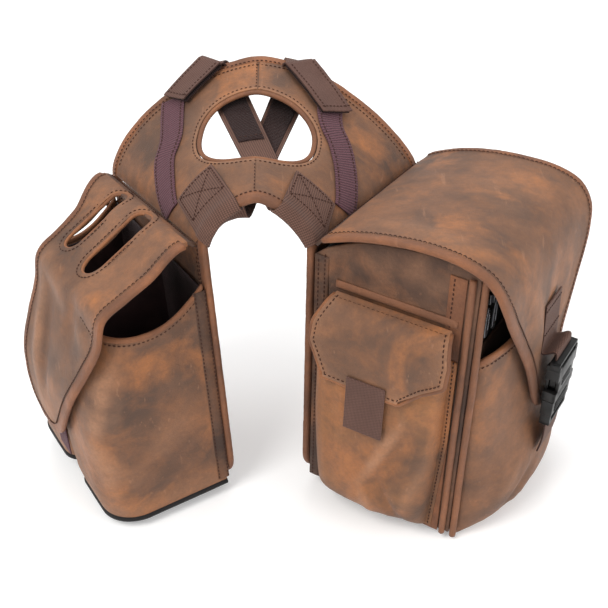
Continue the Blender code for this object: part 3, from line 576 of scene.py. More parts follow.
STITCH, STITCH_PITCH, THREAD = 0.0027, 0.0041, 0.00043
STITCH_STEPS, THREAD_SIDES = 4, 6


def stitch(points, faces, frames, radius):
    """Adds one stitch, sunk in at both ends, to the points and faces of a row."""
    base = len(points)
    for k, (spot, inward, normal) in enumerate(frames):
        sunk = (k / 2 - 1) ** 4
        rise, thick = radius * (0.75 - 1.9 * sunk), radius * (1 - 0.25 * sunk)
        points += [spot + normal * (rise + thick * math.sin(a)) + inward * thick * 1.15 * math.cos(a)
                   for a in (math.pi * 2 * s / THREAD_SIDES for s in range(THREAD_SIDES))]
    for r in range(STITCH_STEPS):
        ring = base + r * THREAD_SIDES
        for s in range(THREAD_SIDES):
            a, b = ring + s, ring + (s + 1) % THREAD_SIDES
            faces.append((a, b, b + THREAD_SIDES, a + THREAD_SIDES))
    last = base + STITCH_STEPS * THREAD_SIDES
    faces.append(tuple(base + s for s in reversed(range(THREAD_SIDES))))
    faces.append(tuple(last + s for s in range(THREAD_SIDES)))


def stitch_rows(name, paths, body, finish="thread", pitch=STITCH_PITCH, length=STITCH, radius=THREAD):
    """Rows of sewn thread.  A path is a list of frames already on the surface, and if it is closed."""
    points, faces = [], []
    for frames, closed in paths:
        total = lengths([place for place, _, _ in (frames + [frames[0]] if closed else frames)])[-1]
        count = max(1, int(total / pitch))
        fine = even(frames, total / (count * 8), closed)
        for start in range(0, count * 8, 8):
            stop = start + max(3, round(8 * length / pitch))
            if stop >= len(fine):
                break
            picked = [fine[round(mix(start, stop, k / STITCH_STEPS))] for k in range(STITCH_STEPS + 1)]
            stitch(points, faces, picked, radius)
    mesh = bpy.data.meshes.new(name)
    mesh.from_pydata(points, [], faces)
    set_attribute(mesh, "wear", "FLOAT", [0.0] * len(points))
    return finish_piece(name, mesh, finish, body)


def shifted(frames, inward, lift):
    """Frames moved in from an edge and up off its middle surface."""
    return [(p + i * inward + n * lift, i, n) for p, i, n in frames]


def beneath(frames, inward, lift):
    """Frames moved in from an edge and down to its lower face, which they then look out from."""
    return [(p, i, -n) for p, i, n in shifted(frames, inward, -lift)]


def straight(matrix, a, b, inward, normal, steps=40):
    """Frames on a straight line in a bag's frame."""
    a, b = Vector(a), Vector(b)
    inward, normal = toward(matrix, inward).normalized(), toward(matrix, normal).normalized()
    return [(matrix @ a.lerp(b, k / steps), inward, normal) for k in range(steps + 1)]


def on_surface(path, surface):
    """Frames along parameters of a surface(u, v, lift)."""
    frames = []
    for index, (u, v) in enumerate(path):
        spot = surface(u, v, 0.0)
        normal = (surface(u, v, 0.001) - spot).normalized()
        a, b = path[max(index - 1, 0)], path[min(index + 1, len(path) - 1)]
        ahead = (surface(*b, 0.0) - surface(*a, 0.0)).normalized()
        frames.append((spot, normal.cross(ahead).normalized(), normal))
    return frames


# The yoke's surface ----------------------------------------------------------------------------

def arch(s, half, rise, y, bulge, z):
    power = mix(ROUND_LEFT, ROUND_RIGHT, 0.5 + 0.5 * math.sin(s * math.pi / 2))
    angle = abs(s) * math.pi / 2
    x = math.copysign(half * math.sin(angle) ** (2 / power), s)
    height = rise * max(0.0, math.cos(angle)) ** (2 / power)
    return Vector((x, y + bulge * (1 - (x / half) ** 2), z + height))


def yoke_surface(s, t):
    near = arch(s, FOLD_NEAR, RISE_NEAR, 0.0, RECESS_NEAR, 0.0)
    far = arch(s, FOLD_FAR, RISE_FAR, FOLD_RUN, BULGE_FAR, -FOLD_DROP)
    return near.lerp(far, t)


def yoke_normal(s, t):
    s = clamp(s, -0.97, 0.97)
    across = yoke_surface(s + 0.01, t) - yoke_surface(s - 0.01, t)
    along = yoke_surface(s, t + 0.01) - yoke_surface(s, t - 0.01)
    return across.cross(along).normalized()


def on_yoke(s, t, lift=0.0):
    """A point over the yoke's outer surface, in the model's frame."""
    spot = yoke_surface(s, t)
    ripple = 0.00045 * rough(spot, 0.035, 2) + 0.00025 * rough(spot, 0.012, 4)
    return spot + yoke_normal(s, t) * (lift + ripple) - ORIGIN


def yoke_param(x, y):
    """Where on the yoke a point lies in plan, measured from between the near folds."""
    s, t = x / 0.11, 0.5
    for _ in range(40):
        here = yoke_surface(s, t)
        ds = (yoke_surface(s + 0.002, t) - here) / 0.002
        dt = (yoke_surface(s, t + 0.002) - here) / 0.002
        size = ds.x * dt.y - ds.y * dt.x
        s += 0.7 * ((x - here.x) * dt.y - (y - here.y) * dt.x) / size
        t += 0.7 * (ds.x * (y - here.y) - ds.y * (x - here.x)) / size
        s = clamp(s, -0.95, 0.95)
    return s, t


def yoke_at(x, y, lift):
    return on_yoke(*yoke_param(x, y), lift)


def drop_on_yoke(aim, s, t, lift):
    """The point over the yoke that lies closest to the aim."""
    for _ in range(10):
        here = on_yoke(s, t, lift)
        ds = (on_yoke(s + 0.003, t, lift) - here) / 0.003
        dt = (on_yoke(s, t + 0.003, lift) - here) / 0.003
        miss = aim - here
        s += 0.6 * miss.dot(ds) / ds.dot(ds)
        t += 0.6 * miss.dot(dt) / dt.dot(dt)
        s = clamp(s, -0.97, 0.97)
    return on_yoke(s, t, lift)


def hole_outline(grow, count=96):
    points = []
    for step in range(count):
        angle = 2 * math.pi * step / count
        wide = math.copysign(abs(math.cos(angle)) ** (2 / HOLE_POWER), math.cos(angle))
        deep = math.copysign(abs(math.sin(angle)) ** (2 / HOLE_POWER), math.sin(angle))
        x = (HOLE_HALF_WIDTH + grow) * wide
        y = (HOLE_HALF_DEPTH + grow) * deep
        points.append((x * math.cos(HOLE_TURN) - y * math.sin(HOLE_TURN) + ORIGIN.x - 0.001,
                       x * math.sin(HOLE_TURN) + y * math.cos(HOLE_TURN) + ORIGIN.y - 0.001))
    return points


YOKE_S, YOKE_T, SEAM_GAP = 0.968, (0.015, 0.985), 0.0032


def hole_reach(grow):
    """The hole's outline in the yoke's own parameters: centre, and radius for an angle."""
    spots = [yoke_param(x, y) for x, y in hole_outline(grow)]
    centre = (0.0, sum(t for _, t in spots) / len(spots))
    polar = sorted((math.atan2(t - centre[1], s), math.hypot(s, t - centre[1])) for s, t in spots)
    polar = [(polar[-1][0] - 2 * math.pi, polar[-1][1]), *polar, (polar[0][0] + 2 * math.pi, polar[0][1])]
    return centre, polar


def yoke_patch(outer, grow, lift, rings, relief=True):
    """Rows of a patch between the hole and a line in the yoke's parameters."""
    centre, polar = hole_reach(grow)
    rows, wear = [], []
    for ring in range(rings + 1):
        share = (ring / rings) ** 1.15
        row, worn = [], []
        for s, t in outer:
            scale = between(polar, math.atan2(t - centre[1], s)) / math.hypot(s, t - centre[1])
            u, v = mix(s * scale, s, share), mix(centre[1] + (t - centre[1]) * scale, t, share)
            rise = 0.0
            if relief:
                u = math.copysign(SEAM_GAP + abs(u) * (1 - SEAM_GAP / YOKE_S), s if s else 1)
                rise = 0.0007 * math.exp(-((abs(u) - 0.03) / 0.012) ** 2)
                rise -= 0.0010 * math.exp(-(u / 0.014) ** 2)
            row.append(on_yoke(u, v, lift + rise))
            worn.append(clamp(0.55 * math.exp(-share * 14) + 0.175 * math.exp(-(u / 0.02) ** 2)))
        rows.append(row)
        wear.append(worn)
    return rows, wear


def side_line(sign):
    """The outer line of one half: out along the near edge, up the fold, back along the far edge."""
    low, high = YOKE_T
    line = [(sign * YOKE_S * k / 26 + sign * 1e-5, low) for k in range(26)]
    line += [(sign * YOKE_S, mix(low, high, k / 34)) for k in range(34)]
    return line + [(sign * YOKE_S * (1 - k / 30) + sign * 1e-5, high) for k in range(31)]


def build_yoke():
    for side, sign in (("left", -1), ("right", 1)):
        rows, wear = yoke_patch(side_line(sign), 0.0022, -LEATHER / 2, 30)
        shell("yoke_skin_" + side, rows, LEATHER, "leather", "root", ["yoke_leather_" + side], wear)
    line = side_line(1)[:-1] + [(-s, t) for s, t in reversed(side_line(1)[1:])]
    rows, _ = yoke_patch(line, 0.0022, -1.5 * LEATHER - 0.0006, 22, relief=False)
    shell("yoke_underside", rows, LEATHER, "lining", "root", ["yoke_lining"], closed=True)
    inner = [yoke_at(x, y, -0.00255) for x, y in hole_outline(0.0)]
    outer = [yoke_at(x, y, -0.00255) for x, y in hole_outline(0.001)]
    above = [yoke_at(x, y, -0.00155) for x, y in hole_outline(0.0)]
    frames = [(p, (q - p).normalized(), (r - p).normalized()) for p, q, r in zip(inner, outer, above)]
    band("horn_hole_rim", frames, 0.0019, 0.0022, "edge_tan", "root", ["horn_hole_binding"], closed=True)
    ring = even(frames, 0.002, True)
    paths = [(shifted(ring, 0.0056, 0.00255), True), (beneath(ring, 0.0056, 0.0031), True)]
    stitch_rows("horn_hole_stitches", paths, "root")
    paths = [(on_surface([(-0.020, mix(low, high, k / 30)) for k in range(31)], on_yoke), False)
             for low, high in ((0.03, 0.225), (0.765, 0.955))]
    stitch_rows("yoke_seam_stitches", paths, "root", pitch=0.0040)
    for low, high, name in ((0.02, 0.24, "near"), (0.755, 0.975, "far")):
        frames = on_surface([(0.0, mix(low, high, k / 20)) for k in range(21)], on_yoke)
        roll("yoke_seam_welt_" + name, shifted(frames, 0, -0.0011), 0.0011, "leather_dark", "root")


def panel_edge(matrix, sign, side, drop):
    """Frames up a back panel's bound edge, from the bottom's middle to just under the fold."""
    half = FOLD_LENGTH / 2
    turn = matrix.to_3x3()
    normal = turn @ Vector((sign, 0, 0))
    inset = -sign * PANEL_THICK / 2
    frames = []

    def add(y, z, iy, iz):
        frames.append((matrix @ Vector((inset, y, z)), (turn @ Vector((0, iy, iz))).normalized(), normal))

    for k in range(8):
        add(half + side * mix(0.0004, half - PANEL_CORNER, k / 8), -BAG_HEIGHT, 0, 1)
    centre = (half + side * (half - PANEL_CORNER), -BAG_HEIGHT + PANEL_CORNER)
    for y, z in arc(centre, PANEL_CORNER, 270, 270 + side * 90, 10):
        add(y, z, centre[0] - y, centre[1] - z)
    for k in range(1, 25):
        add(half + side * half, mix(-BAG_HEIGHT + PANEL_CORNER, drop - 0.012, k / 24), -side, 0)
    return frames


def build_edges():
    for name, t, side in (("near", 0.0, -1), ("far", 1.0, 1)):
        drop = -FOLD_DROP * t
        left = panel_edge(LEFT, -1, side, drop)
        right = panel_edge(RIGHT, 1, side, drop)
        over = []
        for k in range(81):
            s = mix(-0.97, 0.97, k / 80)
            spot = on_yoke(s, t, -PANEL_THICK / 2)
            inward = (on_yoke(s, t - side * 0.02, -PANEL_THICK / 2) - spot).normalized()
            over.append((spot, inward, yoke_normal(s, t)))
        frames = even(left + over + right[::-1], 0.0025)
        band(name + "_edge_strip", frames, 0.0032, 0.0078, "binding", "root", [name + "_edge_binding"])
        rows = [(shifted(frames, 0.0064, 0.0034), False), (beneath(frames, 0.0064, 0.0034), False)]
        if name == "far":
            rows.append((shifted(even(over[4:-4], 0.0025), 0.0118, 0.0026), False))
        stitch_rows(name + "_edge_stitches", rows, "root", pitch=0.0040, length=0.0026)


def build_back_panels():
    low, high, bottom = 0.0026, FOLD_LENGTH - 0.0026, -BAG_HEIGHT + 0.0026
    radius = PANEL_CORNER - 0.0026
    for side, matrix, sign in (("left", LEFT, -1), ("right", RIGHT, 1)):
        def spot(v, u):
            z = mix(-0.0030, bottom, v)
            down = clamp((bottom + radius - z) / radius)
            pull = radius * (1 - math.sqrt(max(0.0, 1 - down * down)))
            y = mix(low + pull, high - pull, u)
            return y, z - slope_at(y) * (1 - v)

        def leather(v, u):
            y, z = spot(v, u)
            swell = 0.0007 * rough((y, z, sign), 0.05, 6) * math.sin(math.pi * u)
            return -sign * PANEL_THICK / 2 + swell, y, z

        def worn(v, u):
            y, z = spot(v, u)
            return 0.25 * clamp(rough((y, z, sign), 0.02, 8))

        shell("back_leather_" + side, placed(matrix, net(40, 32, leather)), PANEL_THICK, "leather", "root",
              ["back_panel_" + side], net(40, 32, worn))
        paths = []
        for edge in (-1, 1):
            frames = panel_edge(matrix, sign, edge, -FOLD_DROP * (edge > 0))
            paths += [(beneath(frames, inward, 0.0027), False) for inward in (0.0125, 0.0158)]
            paths.append((shifted(frames[18:], 0.0118, 0.0026), False))
        stitch_rows("back_stitches_" + side, paths, "root")


LOOP_LEFT = ((-0.44, 0.93), (-0.525, 0.69), (-0.63, 0.585), (-0.72, 0.47), (-0.86, 0.32))
LOOP_RIGHT = ((0.40, 0.90), (0.45, 0.71), (0.55, 0.60), (0.717, 0.42), (0.86, 0.30))
LOOP_WIDTH, STRIP_LIFT = 0.025, 0.0014


def build_loop_strips():
    for side, keys in (("left", LOOP_LEFT), ("right", LOOP_RIGHT)):
        path = smooth([(s, t, 0) for s, t in keys], 12)
        centres = [on_yoke(p.x, p.y, STRIP_LIFT) for p in path]
        rows = []
        for index, spot in enumerate(centres):
            ahead = centres[min(index + 1, len(centres) - 1)] - centres[max(index - 1, 0)]
            across = yoke_normal(path[index].x, path[index].y).cross(ahead).normalized()
            fray = 0.0003 * rough(spot, 0.004, 9)
            rows.append([drop_on_yoke(spot + across * (LOOP_WIDTH * reach + fray * (abs(reach) > 0.4)),
                                      path[index].x, path[index].y, STRIP_LIFT)
                         for reach in (-0.5, -0.38, -0.2, 0.0, 0.2, 0.38, 0.5)])
        shell("loop_tape_" + side, rows, 0.0013, "loop_tape", "root", ["loop_strip_" + side])
        paths = []
        for column, inward in ((1, 1), (5, -1)):
            frames = []
            for index, row in enumerate(rows):
                normal = yoke_normal(path[index].x, path[index].y)
                across = (row[4] - row[2]).normalized()
                frames.append((row[column] + normal * 0.0008, across * inward, normal))
            paths.append((frames, False))
        stitch_rows("loop_tape_stitches_" + side, paths, "root", pitch=0.0040, length=0.0026, radius=0.00042)


# Straps: a sewn patch outside, over the narrow edge, a long run under the yoke, over the wide edge

STRAPS = {
    "left": {"patch": ((-0.052, 0.058), (-0.034, 0.017)), "run": ((-0.027, 0.017), (0.036, 0.184)),
             "depth": -0.0198, "rim": ((0.036, 0.190), (0.067, 0.145)), "turn": "right"},
    "right": {"patch": ((0.048, 0.050), (0.038, 0.015)), "run": ((0.029, 0.017), (-0.038, 0.187)),
              "depth": -0.0090, "rim": ((-0.043, 0.197), (-0.074, 0.166)), "turn": "left"},
}
WEB_HALF, TAB_HALF, WEB_THICK = 0.0163, 0.015, 0.0016
COLUMNS = (-1.0, -0.75, -0.5, -0.25, 0.0, 0.25, 0.5, 0.75, 1.0)


def plan_cross(start, stop, half):
    ahead = Vector((stop[0] - start[0], stop[1] - start[1]))
    return Vector((ahead.y, -ahead.x)).normalized() * half


def edge_cross(spot, ahead, t_edge):
    """Where a line in plan first leaves the yoke over the edge at t_edge; returns s there."""
    s, t = yoke_param(spot.x, spot.y)
    direction = 1 if t_edge > 0.5 else -1
    for _ in range(60):
        if (t - t_edge) * direction >= 0:
            break
        spot = spot + ahead * 0.0008
        s, t = yoke_param(spot.x, spot.y)
    return s


def build_straps():
    for side, plan in STRAPS.items():
        outer, inner = (Vector(p) for p in plan["patch"])
        near, far = (Vector(p) for p in plan["run"])
        out_cross = plan_cross(outer, inner, WEB_HALF)
        run_cross = plan_cross(near, far, WEB_HALF)
        out_ahead, run_ahead = (inner - outer).normalized(), (far - near).normalized()
        lines, patch_rows = [], []
        for c in COLUMNS:
            keys = []
            for k in range(7):
                spot = outer.lerp(inner, k / 6) + out_cross * c
                keys.append(yoke_at(spot.x, spot.y, 0.0022))
            patch_rows.append(list(keys))
            s_out = edge_cross(inner + out_cross * c, out_ahead, 0.02)
            s_in = edge_cross(near - run_cross * c, -run_ahead, 0.03)
            keys.append(on_yoke(s_out, 0.008, 0.0032))
            keys.append(on_yoke(mix(s_out, s_in, 0.5), -0.034, -0.0028))
            keys.append(on_yoke(s_in, 0.010, -0.0078))
            start, stop = near - run_cross * c, far - run_cross * c
            first = yoke_at(start.x, start.y, plan["depth"])
            last = yoke_at(stop.x, stop.y, plan["depth"])
            keys += [first.lerp(last, k / 8) for k in range(9)]
            s_far = edge_cross(far - run_cross * c, run_ahead, 0.98)
            rim, end = (Vector(p) for p in plan["rim"])
            tab_cross = plan_cross(rim, end, TAB_HALF)
            over = rim + tab_cross * c
            keys.append(on_yoke(s_far, 0.985, -0.0072))
            keys.append(on_yoke(mix(s_far, yoke_param(over.x, over.y)[0], 0.6), 1.034, -0.0010))
            keys.append(yoke_at(over.x, over.y, 0.0062))
            lines.append(smooth(keys, 4))
        rows = [list(row) for row in zip(*lines)]
        shell("fork_webbing_" + side, rows, WEB_THICK, "webbing", "root",
              ["strap_patch_" + side, "fork_strap_" + side])
        cross_stitches(side, outer, inner, out_cross)
        pile_on_strap(side, lines, 0.50 if side == "right" else 0.30)


def cross_stitches(side, outer, inner, cross):
    """The box and cross that sew a strap's end down."""
    def at(u, v):
        spot = outer.lerp(inner, u) + cross * v
        s, t = yoke_param(spot.x, spot.y)
        return on_yoke(s, t, 0.0031), yoke_normal(s, t)

    corners = [(0.07, -0.86), (0.07, 0.86), (0.80, 0.86), (0.80, -0.86)]
    lines = [(corners[0], corners[1]), (corners[1], corners[2]), (corners[2], corners[3]),
             (corners[3], corners[0]), (corners[0], corners[2]), (corners[1], corners[3])]
    paths = []
    for a, b in lines:
        spots = [at(mix(a[0], b[0], k / 12), mix(a[1], b[1], k / 12)) for k in range(13)]
        ahead = (spots[-1][0] - spots[0][0]).normalized()
        paths.append(([(p, n.cross(ahead).normalized(), n) for p, n in spots], False))
    stitch_rows("strap_box_stitches_" + side, paths, "root", pitch=0.0034, length=0.0024)


def pile_on_strap(side, lines, start):
    """Hook tape sewn on the upper face of a strap's long run, towards the wide edge."""
    first = 4 * 10 + round(32 * start)
    grid = [list(row[1:-1]) for row in list(zip(*lines))[first:4 * 18 - 1]]
    normals = upward(grid)
    grid = [[p + n * 0.0014 for p, n in zip(row, line)] for row, line in zip(grid, normals)]
    shell("fork_pile_" + side, grid, 0.0011, "hook_tape", "root")
    normal, ahead = normals[1][3], (grid[2][3] - grid[0][3]).normalized()
    frames = [(grid[1][0].lerp(grid[1][-1], k / 8) + normal * 0.0007, ahead, normal) for k in range(9)]
    stitch_rows("fork_pile_stitches_" + side, [(frames, False)], "root")


def build_tabs():
    for strap in STRAPS.values():
        side, (rim, end) = strap["turn"], strap["rim"]
        rim, end = Vector(rim), Vector(end)
        cross = plan_cross(rim, end, 1.0)
        for name, node, lift, thick, half, finish, far in (
                ("hook_pad_skin_", "hook_pad_", 0.0042, 0.0014, 0.0150, "hook_tape", 1.0),
                ("tab_webbing_", "strap_end_", 0.0066, 0.0018, 0.0150, "webbing_plain", 1.02)):
            rows = []
            for k in range(25):
                middle = rim.lerp(end, far * k / 24)
                row = []
                for c in COLUMNS:
                    spot = middle + cross * (half * c)
                    s, t = yoke_param(spot.x, spot.y)
                    curl = 0.0018 * max(0.0, -c) ** 2 if name[0] == "t" else 0.0
                    row.append(on_yoke(s, t, lift + curl + 0.0003 * rough((s, t, 1), 0.08)))
                rows.append(row)
            shell(name + side, rows, thick, finish, "strap_end_" + side, [node + side])
            if name[0] == "t":
                paths = []
                for column in (1, 7):
                    frames = [(row[column] + n[column] * 0.0010, (row[5] - row[3]).normalized(), n[column])
                              for row, n in zip(rows, upward(rows))]
                    paths.append((frames[1:-1], False))
                frames = [(p + n * 0.0010, (rows[-3][4] - rows[-1][4]).normalized(), n)
                          for p, n in zip(rows[-3], upward(rows)[-3])]
                paths.append((frames, False))
                stitch_rows("tab_stitches_" + side, paths, "strap_end_" + side, pitch=0.0038, length=0.0026)
        wrap_strap(side, rim, (rim - end).normalized(), cross)


TAB_WRAP = ((-0.0010, 0.0064), (0.0022, 0.0056), (0.0044, 0.0020), (0.0046, -0.0020), (0.0026, -0.0062),
            (-0.0030, -0.0084), (-0.0120, -0.0086), (-0.0240, -0.0080))


def wrap_strap(side, rim, out, cross):
    """Webbing that comes from below, over the yoke's wide edge, into the loose strap end."""
    rows = []
    for reach, lift, _ in smooth([(reach, lift, 0) for reach, lift in TAB_WRAP], 5):
        row = []
        for c in COLUMNS:
            spot = rim + out * reach + cross * (0.0146 * c)
            row.append(on_yoke(*yoke_param(spot.x, spot.y), lift))
        rows.append(row)
    made = shell("strap_wrap_" + side, rows, 0.0016, "webbing_plain", None)
    bake(made)
    at_rim = yoke_param(rim.x, rim.y)
    on_yoke(*at_rim, -0.0040)
    on_yoke(*at_rim, 0.0062)
    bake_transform(made)


def upward(rows):
    normals = grid_normals(rows)
    flip = 1 if normals[0][0].z > 0 else -1
    return [[n * flip for n in row] for row in normals]


# Flaps --------------------------------------------------------------------------------------------

class Bend:
    """A flap's curved surface: a profile across the bag, swept along the fold."""

    def __init__(self, keys, sign, matrix):
        self.line = smooth([(x, 0, z) for x, z in keys], 14)
        self.sign, self.matrix = sign, matrix
        self.reach = lengths(self.line)

    def at(self, run, along, lift=0.0):
        """The point at a distance along the profile, and along the fold, over the surface."""
        index = 0
        while index < len(self.line) - 2 and self.reach[index + 1] < run:
            index += 1
        a, b = self.line[index], self.line[index + 1]
        before = (b - self.line[max(index - 1, 0)]).normalized()
        after = (self.line[min(index + 2, len(self.line) - 1)] - a).normalized()
        share = (run - self.reach[index]) / (self.reach[index + 1] - self.reach[index])
        ahead = before.lerp(after, clamp(share)).normalized()
        spot = a + (b - a) * share + Vector((-ahead.z, 0, ahead.x)) * lift
        return self.matrix @ Vector((self.sign * spot.x, along, spot.z - slope_at(along)))

    def run_at(self, x):
        """The distance along the profile at which it has come out to x."""
        for a, b, low in zip(self.line, self.line[1:], self.reach):
            if b.x >= x:
                return low + (b - a).length * clamp((x - a.x) / (b.x - a.x))
        return self.reach[-1]


LEFT_PROFILE = ((0.0095, 0.0085), (0.020, 0.009), (0.032, 0.004), (0.050, -0.008),
                (0.075, -0.020), (0.096, -0.032), (0.104, -0.060), (0.116, -0.092),
                (0.126, -0.122), (0.130, -0.155), (0.131, -0.192))
RIGHT_PROFILE = ((0.0095, 0.011), (0.016, 0.0165), (0.045, 0.028), (0.080, 0.035),
                 (0.115, 0.037), (0.140, 0.034), (0.158, 0.026), (0.170, 0.008),
                 (0.175, -0.018), (0.178, -0.060), (0.181, -0.100), (0.186, -0.148))
LEFT_EDGES = ((0.0, 0.004, 0.184), (0.022, 0.001, 0.172), (0.045, 0.0, 0.158), (0.075, 0.0, 0.150),
              (0.100, 0.000, 0.146), (0.130, 0.004, 0.147), (0.160, 0.018, 0.149),
              (0.190, 0.034, 0.150), (0.215, 0.050, 0.149), (0.236, 0.064, 0.143),
              (0.249, 0.077, 0.134), (0.256, 0.094, 0.119))
RIGHT_EDGES = ((0.0, -0.002, 0.190), (0.020, -0.006, 0.194), (0.100, -0.006, 0.194),
               (0.165, -0.006, 0.194), (0.195, 0.004, 0.184), (0.235, 0.032, 0.156),
               (0.265, 0.053, 0.135), (0.290, 0.066, 0.122), (0.310, 0.074, 0.114),
               (0.322, 0.082, 0.106), (0.328, 0.091, 0.097))


LEFT_FOLDS = (
    ((0.105, 0.128), (0.235, 0.108), 0.011, 0.0034), ((0.120, 0.108), (0.215, 0.092), 0.010, -0.0022),
    ((0.090, 0.062), (0.150, 0.050), 0.012, -0.0026), ((0.112, 0.046), (0.118, 0.008), 0.0045, -0.0016),
    ((0.124, 0.050), (0.132, 0.016), 0.008, 0.0018), ((0.090, 0.135), (0.120, 0.060), 0.009, 0.0016),
    ((0.190, 0.075), (0.235, 0.098), 0.012, 0.0018))
RIGHT_FOLDS = (
    ((0.205, 0.060), (0.275, 0.078), 0.012, 0.0016), ((0.205, 0.110), (0.285, 0.106), 0.014, -0.0016),
    ((0.030, 0.020), (0.140, 0.012), 0.012, 0.0012), ((0.170, 0.020), (0.230, 0.046), 0.010, -0.0014))
RIM_GAP, FLAP_SPACING = 0.0034, 0.0025


def left_relief(run, along):
    """Folds and dents of the bottle bag's flap, in metres along its profile and along the fold."""
    rise = folds(run, along, LEFT_FOLDS)
    return rise + 0.0011 * rough((run, along, 0), 0.045, 11) + 0.0004 * rough((run, along, 0), 0.014, 12)


def right_relief(run, along):
    """The main flap is flatter: a few long soft waves and one dent near its lower corner."""
    rise = folds(run, along, RIGHT_FOLDS)
    return rise + 0.0012 * rough((run, along, 0), 0.07, 13) + 0.0004 * rough((run, along, 0), 0.018, 14)


def flap_rim(bend, edges, relief):
    """Frames round a flap's free edge: down its near side and up its far side."""
    line = [Vector((run, near)) for run, near, _ in edges]
    line += [Vector((run, far)) for run, _, far in reversed(edges)]
    frames = []
    for index, spot in enumerate(line):
        ahead = line[min(index + 1, len(line) - 1)] - line[max(index - 1, 0)]
        out = Vector((ahead.y, -ahead.x)).normalized()
        rim = spot + out * RIM_GAP
        if rim.x < 0.003:
            continue
        lift = -FLAP_THICK / 2 + relief(rim.x, rim.y) * 0.6
        middle = bend.at(rim.x, rim.y, lift)
        inner = bend.at(rim.x - out.x * 0.002, rim.y - out.y * 0.002, lift)
        above = bend.at(rim.x, rim.y, lift + 0.001)
        frames.append((middle, (inner - middle).normalized(), (above - middle).normalized()))
    return frames


def flap_skin(bend, edges, relief, columns):
    rows, wear = [], []
    for run, near, far in edges:
        row, worn = [], []
        for k in range(columns + 1):
            along = mix(near, far, k / columns)
            rise = relief(run, along)
            edge = min(k, columns - k) / columns
            row.append(bend.at(run, along, -FLAP_THICK / 2 + rise * mix(0.6, 1.0, ease(0.0, 0.1, edge))))
            worn.append(clamp(rise / 0.0042) * 0.85)
        rows.append(row)
        wear.append(worn)
    return rows, wear


def bake(made):
    """Applies every modifier of a piece to its mesh."""
    done = bpy.data.meshes.new_from_object(made.evaluated_get(bpy.context.evaluated_depsgraph_get()))
    made.modifiers.clear()
    made.data = done


def bind_flap(side, bend, edges, relief, wide):
    """The binding of a flap's free edge and its stitches on both faces."""
    frames = even(flap_rim(bend, edges, relief), FLAP_SPACING)
    name = side + "_flap"
    band(name + "_strip", frames, 0.0025, wide, "binding", name, [name + "_binding"])
    return [(shifted(frames, 0.0078, 0.0030), False), (beneath(frames, 0.0078, 0.0030), False)]


def build_left_flap():
    bend = Bend(LEFT_PROFILE, -1, LEFT)
    edges = smooth(LEFT_EDGES, 9)
    rows, wear = flap_skin(bend, edges, left_relief, 48)
    flap = shell("left_flap_skin", rows, FLAP_THICK, "leather", "left_flap", ["left_flap"], wear)
    cutters, paths = [], []
    for index, (near, far, reach) in enumerate(((0.055, 0.083, 0.082), (0.111, 0.133, 0.078))):
        radius, middle = (far - near) / 2, (near + far) / 2
        outline = arc((0.012 + radius, middle), radius, 90, 270, 14)
        outline += arc((reach - radius, middle), radius, -90, 90, 14)
        cutters.append(slot_cutter(outline))
        frames = slot_frames(bend, outline)
        band("neck_slot_rim_%d" % index, frames, 0.0018, 0.0016, "edge_tan", "left_flap", closed=True)
        paths.append((shifted(even(frames, 0.002, True), 0.0042, 0.0021), True))
        hole = flap.modifiers.new("slot", "BOOLEAN")
        hole.object, hole.solver = cutters[-1], "EXACT"
    flap.modifiers.move(len(flap.modifiers) - 1, 1)
    bake(flap)
    for cutter in cutters:
        bpy.data.objects.remove(cutter)
    paths += bind_flap("left", bend, edges, left_relief, 0.0068)
    dart = [(mix(0.112, 0.118, k / 10), mix(0.038, 0.011, k / 10)) for k in range(11)]
    paths.append((on_surface(dart, lambda u, v, lift: bend.at(u, v, lift + left_relief(u, v))), False))
    stitch_rows("left_flap_stitches", paths, "left_flap", pitch=0.0042, length=0.0029)
    build_flap_root("left", bend, LEFT, ((0.0022, 0.0030), (0.0055, 0.0065), (0.0093, 0.0083)),
                    (0.004, 0.184))
    rows = net(8, 8, lambda v, u: bend.at(mix(0.205, 0.240, v), mix(0.086, 0.124, u), -FLAP_THICK - 0.0011))
    shell("left_hook_tape", rows, 0.0010, "hook_tape", "left_flap", ["left_hook_patch"])

def slot_cutter(outline):
    """A prism through the bottle bag's flap, in the bag's frame."""
    low = [LEFT @ Vector((-x, y, -0.06)) for x, y in outline]
    high = [LEFT @ Vector((-x, y, 0.05)) for x, y in outline]
    made = bpy.data.objects.new("cutter", section_mesh("cutter", [low, high], False))
    bpy.context.scene.collection.objects.link(made)
    return made


def slot_frames(bend, outline):
    """Frames once round a slot for a bottle's neck."""
    frames = []
    count = len(outline)
    for index, (x, y) in enumerate(outline):
        (ax, ay), (bx, by) = outline[index - 1], outline[(index + 1) % count]
        out = Vector((by - ay, ax - bx)).normalized()
        run = bend.run_at(x)
        lift = -FLAP_THICK / 2 + left_relief(run, y)
        spot = bend.at(run, y, lift)
        beside = bend.at(bend.run_at(x + out.x * 0.002), y + out.y * 0.002, lift)
        above = bend.at(run, y, lift + 0.001)
        frames.append((spot, (beside - spot).normalized(), (above - spot).normalized()))
    return frames


def build_flap_root(side, bend, matrix, keys, sides):
    """The sewn strip between the fold and the flap."""
    root = Bend(keys, bend.sign, matrix)
    low, high = sides
    rows = []
    for k in range(9):
        run = root.reach[-1] * k / 8
        rows.append([root.at(run, mix(low, high, c / 48), -0.0017) for c in range(49)])
    for run in (0.002, 0.0045, 0.007):
        rows.append([bend.at(run, mix(low, high, c / 48), -0.0021) for c in range(49)])
    made = shell(side + "_flap_hinge_leather", rows, 0.0030, "leather_dark", None, [side + "_flap_root"])
    bake(made)
    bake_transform(made)
    path = [(root.reach[-1] * 0.45, mix(low + 0.003, high - 0.003, c / 60)) for c in range(61)]
    stitch_rows(side + "_flap_hinge_stitches", [(on_surface(path, root.at), False)], "root")


